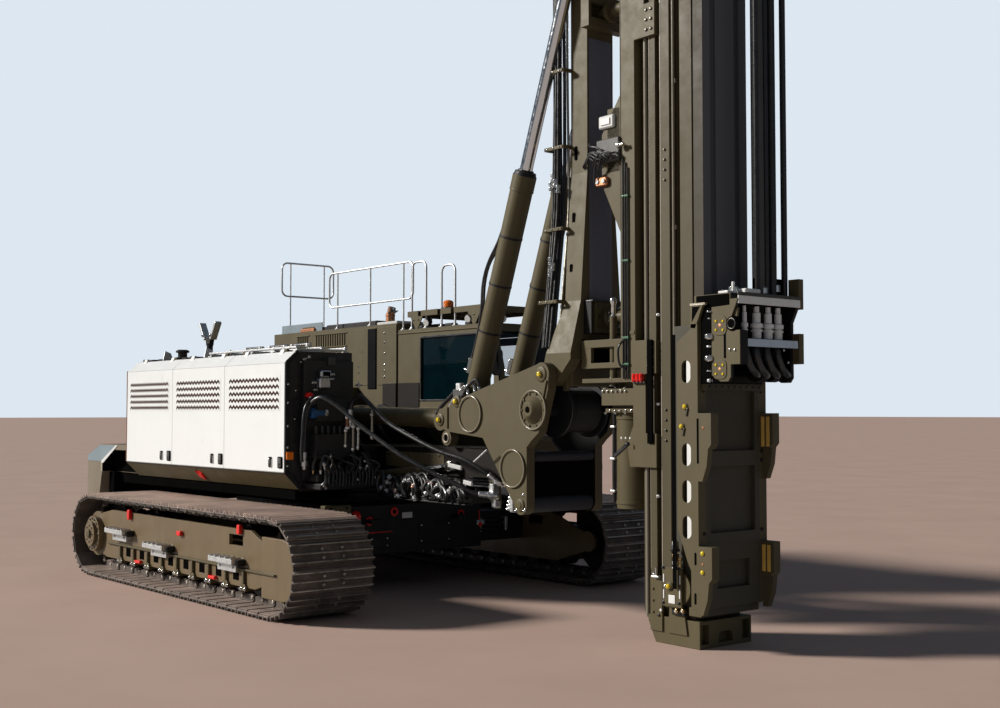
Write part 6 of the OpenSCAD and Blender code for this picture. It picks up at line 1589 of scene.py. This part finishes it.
def make_valve_group(rnd):
    """Valves, fittings and short held hoses in front of the power pack."""
    v = Piece("valve_group", "upper", "engine_paint")
    x0 = 1.139
    # Screws of the dark panel above the valves
    for px, py in ((300.5, 362), (306, 358.5), (358.7, 367), (358.7, 373), (295.5, 390.5), (294.5, 419),
                   (362, 352), (336, 352.5)):
        p = seen(px, py, x=x0)
        v.bolt((x0, p.y, p.z), AHEAD, 0.01, "bright_steel", False)
    # Cock with a cross handle, small square cover
    p = seen(358.7, 385.0, x=x0 + 0.05)
    v.rod((x0, p.y, p.z), (x0 + 0.05, p.y, p.z), 0.016, "galvanised", 12)
    v.block((x0 + 0.055, p.y, p.z), LEFT, AHEAD, (0.05, 0.007, 0.007), "bright_steel", 0.003)
    v.block((x0 + 0.056, p.y, p.z), UP, AHEAD, (0.04, 0.007, 0.007), "bright_steel", 0.003)
    p = seen(331.0, 361.5, x=x0)
    v.box((x0, p.y - 0.045, p.z - 0.045), (x0 + 0.03, p.y + 0.045, p.z + 0.045), c=0.006)
    # Valve with its coil and elbows
    p = seen(324.0, 381.0, x=x0 + 0.06)
    v.box((x0, p.y - 0.07, p.z - 0.08), (x0 + 0.09, p.y + 0.07, p.z + 0.035), "galvanised", 0.012)
    v.box((x0 + 0.02, p.y - 0.055, p.z + 0.04), (x0 + 0.09, p.y + 0.085, p.z + 0.115), "bright_steel", 0.016)
    v.box((x0 + 0.088, p.y - 0.03, p.z + 0.055), (x0 + 0.096, p.y + 0.06, p.z + 0.1), "shadow_black")
    for dy, dz in ((-0.15, -0.02), (-0.13, -0.1), (0.13, 0.02), (0.14, 0.07)):
        v.rod((x0 + 0.05, p.y + dy * 0.6, p.z + dz), (x0 + 0.05, p.y + dy, p.z + dz), 0.016, "bright_steel", 12)
    q = seen(309.5, 395.0, x=x0 + 0.04)
    v.lathe((x0, q.y, q.z), AHEAD, [(0, 0.03), (0.05, 0.03), (0.055, 0.018), (0.09, 0.018)], "red_paint", 16)
    q = seen(316.0, 400.0, x=x0 + 0.04)
    v.box((x0, q.y - 0.09, q.z - 0.06), (x0 + 0.07, q.y + 0.09, q.z + 0.05), "galvanised", 0.02)
    # Filter bowl
    p = seen(318.0, 413.0, x=x0 + 0.08)
    v.lathe((x0 + 0.07, p.y - 0.09, p.z), LEFT, [(0, 0.05), (0.005, 0.058), (0.15, 0.058), (0.155, 0.05)],
            "blue_rubber", 24)
    v.lathe((x0 + 0.07, p.y + 0.065, p.z), LEFT, [(0, 0.052), (0.004, 0.062), (0.035, 0.062), (0.04, 0.05)],
            "bright_steel", 24)
    # Long hose in a bow down the left of the panel
    path = [seen(px, py, x=x0 + 0.12) for px, py in ((331, 398), (322, 396), (313, 398), (306.5, 405), (303.5, 418),
                                                     (302.5, 435), (301.5, 450), (302, 462))]
    v.tube(curve(path, 6), 0.018, "rubber", 12)
    # Steel pipes and their nuts
    pipes = [
        (347.0, 416, 430, 0.02, "copper"), (353.0, 422, 452, 0.017, "pipe_steel"),
        (358.0, 425, 450, 0.016, "bright_steel"), (345.5, 428, 448, 0.015, "pipe_steel"),
        (372.0, 410, 440, 0.018, "pipe_steel"),
    ]
    for px, a, b, r, mat in pipes:
        p, q = seen(px, a, x=x0 + 0.16), seen(px, b, x=x0 + 0.16)
        v.rod((x0 + 0.16, p.y, q.z), (x0 + 0.16, p.y, p.z), r, mat, 14)
        for t in (0.05, 0.8):
            z = q.z + (p.z - q.z) * t
            v.rod((x0 + 0.16, p.y, z), (x0 + 0.16, p.y, z + 0.03), r * 1.5, "bright_steel", 6)
    # Manifold below, and its rows of short hoses
    v.box((1.14, -1.34, 1.245), (1.34, -0.66, 1.33), "dark_paint", 0.01)
    v.box((1.02, -1.36, 1.165), (1.44, -0.62, 1.235), "dark_paint", 0.01)
    for k in range(16):
        y = -1.31 + k * 0.042
        x = 1.2 + 0.09 * (k % 2)
        z = 1.33
        v.rod((x, y, z - 0.002), (x, y, z + 0.045), 0.014, "bright_steel" if k % 3 else "brass", 10)
        h = rnd.uniform(0.1, 0.26)
        bow = [(x, y, z + 0.04), (x + 0.01, y, z + h * 0.6), (x + 0.06, y + rnd.uniform(-0.03, 0.05), z + h),
               (x + 0.14, y + rnd.uniform(-0.05, 0.08), z + h * 0.7), (1.42, y + 0.03, z + 0.02),
               (1.43, y + 0.02, 1.2)]
        v.tube(curve(bow, 5), rnd.choice((0.013, 0.016, 0.019)), "rubber", 8)
    for k in range(12):
        y = -1.36 + 0.73 * rnd.random()
        x, z = rnd.uniform(1.36, 1.45), rnd.uniform(1.2, 1.46)
        add_fitting(v, rnd, (x, y, z), (0.3, 1, 1), (0.02, 0.045), (0.01, 0.017), ("bright_steel", "galvanised"),
                    (0.021, "bright_steel"))
    v.done()


def make_boom_side_hoses(rnd):
    """Hangers under the boom's arm, the tray they carry, and the held hoses and fittings lying in it."""
    b = Piece("boom_side_hoses", "boom", "black_parts")
    for x in (1.62, 2.12, 2.62, 2.98):
        b.box((x, -0.66, 1.075), (x + 0.014, -0.15, 1.175), "dark_paint", 0.003)
        b.box((x, -0.2, 1.17), (x + 0.014, -0.15, 1.336), "dark_paint", 0.003)
    b.box((1.5, -0.665, 1.066), (3.05, -0.56, 1.078), "dark_paint", 0.003)
    for k in range(24):
        x = 1.5 + 1.42 * rnd.random()
        l = rnd.uniform(0.1, 0.24)
        y = rnd.uniform(-0.7, -0.57)
        z = rnd.uniform(1.085, 1.16)
        h = rnd.uniform(0.08, 0.2) * (1.25 - 0.25 * (x - 1.5))
        r = rnd.choice((0.016, 0.021, 0.026))
        bow = [(x, y, z - 0.01), (x - l * 0.25, y - 0.01, z + h * 0.45), (x + l * 0.1, y + 0.01, z + h),
               (x + l * 0.6, y, z + h * 0.95), (x + l, y - 0.02, z + h * 0.35), (x + l * 0.8, y, z - 0.01)]
        b.tube(curve(bow, 5), r, "rubber", 9)
    for k in range(9):
        z = 1.09 + 0.016 * (k // 3)
        y = -0.585 - 0.03 * (k % 3)
        pts = [(1.5 + i * 0.22, y + rnd.uniform(-0.012, 0.012), z + rnd.uniform(-0.004, 0.014)) for i in range(8)]
        b.tube(curve(pts, 4), 0.014, "rubber", 9)
    for k in range(22):
        x = 1.48 + 1.5 * rnd.random()
        y, z = rnd.uniform(-0.72, -0.64), rnd.uniform(1.09, 1.33 - 0.06 * (x - 1.5))
        add_fitting(b, rnd, (x, y, z), (1, 0.4, 1), (0.025, 0.055), (0.014, 0.022),
                    ("bright_steel", "galvanised", "galvanised", "copper"), (0.028, "galvanised"))
    # Bright lever-shaped plates seen between the two long hoses
    for px, py, l in ((455.0, 466.5, 0.11), (468.0, 483.0, 0.07)):
        p = seen(px, py, y=-0.68)
        b.block((p.x, -0.68, p.z), (1, 0, -0.12), LEFT, (l, 0.012, 0.022), "grey_plate", 0.006)
    p, q = seen(474, 462, y=-0.6), seen(487, 450, y=-0.6)
    b.rod(p, q, 0.011, "galvanised", 12)
    b.done()


def make_mast_foot_trim():
    """Dark gimbal box round the mast's foot, open towards the leader, and the foot's lug."""
    g = Piece("mast_foot_trim", "mast", "olive_paint")
    for s in (-1, 1):
        g.box((4.2, s * 0.205, 2.74), (4.44, s * 0.225, 3.055), "dark_paint", 0.006)
    g.box((4.2, -0.225, 3.04), (4.46, 0.225, 3.062), "black_parts")
    g.box((4.331, -0.2, 2.745), (4.35, 0.2, 3.04), "shadow_black")
    g.box((4.055, -0.27, 2.245), (4.215, 0.27, 2.48), c=0.01)
    g.box((4.085, -0.275, 2.2), (4.15, -0.23, 2.3), c=0.006)
    g.box((4.06, -0.24, 2.47), (4.2, 0.24, 2.76), "shadow_black")
    g.done()


RAIL_R = 0.013


def make_handrails():
    """Rails on the roofs: one long loop and two narrow ones along the right edge, one across the rear."""
    r = Piece("handrail_loops", "upper", "galvanised")
    edge, bend = 0.644, 0.09
    hood_top, cab_top = 3.1103, 3.0203

    def foot(x, y, z):
        r.lathe((x, y, z), UP, [(0, 0.04), (0.008, 0.04), (0.01, 0.022), (0.03, 0.02)], n=16)

    def post(x, y, z, top):
        r.rod((x, y, z), (x, y, top), RAIL_R - 0.002, n=12)
        foot(x, y, z)

    def loop(a1, a2, z1, z2, place):
        pts = [place(u, v, 0) for u, v in rounded((a1 + a2) / 2, (z1 + z2) / 2, a2 - a1, z2 - z1, bend, 6)]
        r.tube(pts + [pts[0]], RAIL_R)

    loop(-1.69, 0.28, 3.41, 3.87, on_y(edge))
    for x, z in ((-1.48, hood_top), (-0.68, hood_top), (0.075, cab_top)):
        post(x, edge, z, 3.87)
    loop(0.66, 1.52, 3.67, 4.15, on_x(-3.02))
    for y in (0.8, 1.36):
        post(-3.02, y, hood_top, 4.15)
    for x1, x2, h in ((0.26, 0.56, 0.83), (0.88, 1.15, 0.74)):
        arch = [(x1, edge, cab_top), (x1, edge, cab_top + h * 0.5)]
        for x, a0 in ((x1 + bend, 180), (x2 - bend, 90)):
            for k in range(7):
                a = math.radians(a0 - 15 * k)
                arch.append((x + bend * math.cos(a), edge, cab_top + h - bend + bend * math.sin(a)))
        r.tube(arch + [(x2, edge, cab_top + h * 0.5), (x2, edge, cab_top)], RAIL_R, n=12)
        for x in (x1, x2):
            foot(x, edge, cab_top)
    r.done(replaces=["handrails"])


def make_hood_post():
    """Black post between the hood and the cab."""
    k = Piece("hood_post", "upper", "black_parts")
    p, q = seen(368.3, 389.0, y=0.6), seen(376.6, 328.5, y=0.6)
    k.box((p.x, 0.585, p.z), (q.x, 0.6005, q.z), "black_film", 0.003)
    k.done()


# Nodes whose material differs from their slot's usual one
NODE_MATERIALS = {
    "track_frame_right": "track_frame_paint", "track_frame_left": "track_frame_paint", "leader": "leader_paint",
    # base_boom: near black, partly dark paint and partly painted shade
    "leader_crown": "leader_paint", "boom_head": "head_paint", "base_boom": "boom_paint", "leader_pipes": "pipe_paint",
    "inner_mast": "inner_mast_paint", "sledge": "sledge_paint", "coupling_head": "coupling_paint",
    # upper_frame: dark paint here stands for painted shade
    "counterweight": "weight_paint", "upper_frame": "dark_paint",
}


def dress_nodes():
    slots = {row["node"]: row["material_slot"] for row in frame["record"]["subparts"]}
    for name, obj in frame["nodes"].items():
        obj.data.materials.clear()
        obj.data.materials.append(MATERIALS[NODE_MATERIALS.get(name, slots[name])])
        for poly in obj.data.polygons:
            poly.material_index = 0


# Floor, backdrop and light


def make_stage():
    """Floor; the camera sees it a little redder than it lights the machine."""
    bpy.context.scene.view_settings.view_transform = "Standard"
    bpy.ops.mesh.primitive_plane_add(size=900, location=(0, 0, -0.002))
    floor = bpy.context.object
    floor.name = "floor"
    mat, tree, shader = new_material("floor")
    tones = [ramp(tree, noise(tree, 0.6, 6.0, 0.6), [(0.3, rgba(dark)), (0.7, rgba(light))])
             for dark, light in (((0.5, 0.43, 0.395), (0.56, 0.485, 0.45)),
                                 ((0.492, 0.346, 0.288), (0.545, 0.387, 0.323)))]
    path = tree.nodes.new("ShaderNodeLightPath")
    set_shader(tree, shader, {"Base Color": mix(tree, path.outputs["Is Camera Ray"], *tones), "Roughness": 0.85})
    floor.data.materials.append(mat)


def make_world():
    """Bluish light from the sky, and a pale backdrop for the camera and through glass."""
    world = bpy.data.worlds.new("world")
    bpy.context.scene.world = world
    world.use_nodes = True
    tree = world.node_tree
    sky, backdrop = tree.nodes["Background"], tree.nodes.new("ShaderNodeBackground")
    for n, color, strength in ((sky, (0.62, 0.78, 1.0), 0.12), (backdrop, (0.72, 0.8, 0.88), 1.0)):
        n.inputs["Color"].default_value = rgba(color)
        n.inputs["Strength"].default_value = strength
    path = tree.nodes.new("ShaderNodeLightPath")
    blend = tree.nodes.new("ShaderNodeMixShader")
    either = math_node(tree, "MAXIMUM", path.outputs["Is Camera Ray"], path.outputs["Is Transmission Ray"])
    for k, value in enumerate((either, sky.outputs[0], backdrop.outputs[0])):
        tree.links.new(value, blend.inputs[k])
    tree.links.new(blend.outputs[0], tree.nodes["World Output"].inputs["Surface"])


def add_light(name, kind, power, color, look, place=(0, 0, 0)):
    light = bpy.data.lights.new(name, kind)
    light.energy = power
    light.color = color
    obj = bpy.data.objects.new(name, light)
    obj.location = place
    obj.rotation_euler = Vector(look).to_track_quat("-Z", "Y").to_euler()
    bpy.context.scene.collection.objects.link(obj)
    return light


def make_lights():
    """Warm sun from the rear right, and a soft cool fill from the front."""
    sun = add_light("key", "SUN", 4.5, (1.0, 0.955, 0.885), (0.66, 0.7, -0.47))
    sun.angle = math.radians(9.0)
    fill_at = Vector((22.0, -4.0, 10.0))
    fill = add_light("fill", "AREA", 70.0, (0.8, 0.88, 1.0), Vector((2.0, 0.0, 2.5)) - fill_at, fill_at)
    fill.shape = "SQUARE"
    fill.size = 12.0


make_camera()
make_big_hoses()
make_stage()
make_world()
make_lights()
dress_nodes()
make_track(-1, "right")
make_track(1, "left")
make_track_sides()
make_doors()
make_power_pack_trim()
make_roof_rig()
make_hood_trim()
make_exhaust_trim()
make_cab_trim()
make_cab_interior()
make_roof_guard_trim()
make_beacon()
make_counterweight_trim()
make_boom_head_trim()
make_winch_rope()
make_boom_arm_trim()
make_backstay_trim()
make_boom_head_hoses()
make_mast_trim()
make_mast_hoses()
make_carriage_trim()
make_carriage_junction()
make_leader_trim()
make_foot_trim()
make_sledge_trim()
make_coupling_trim()
make_car_body_trim()
hose_draws = random.Random(5)
make_valve_group(hose_draws)
make_boom_side_hoses(hose_draws)
make_mast_foot_trim()
make_handrails()
make_hood_post()
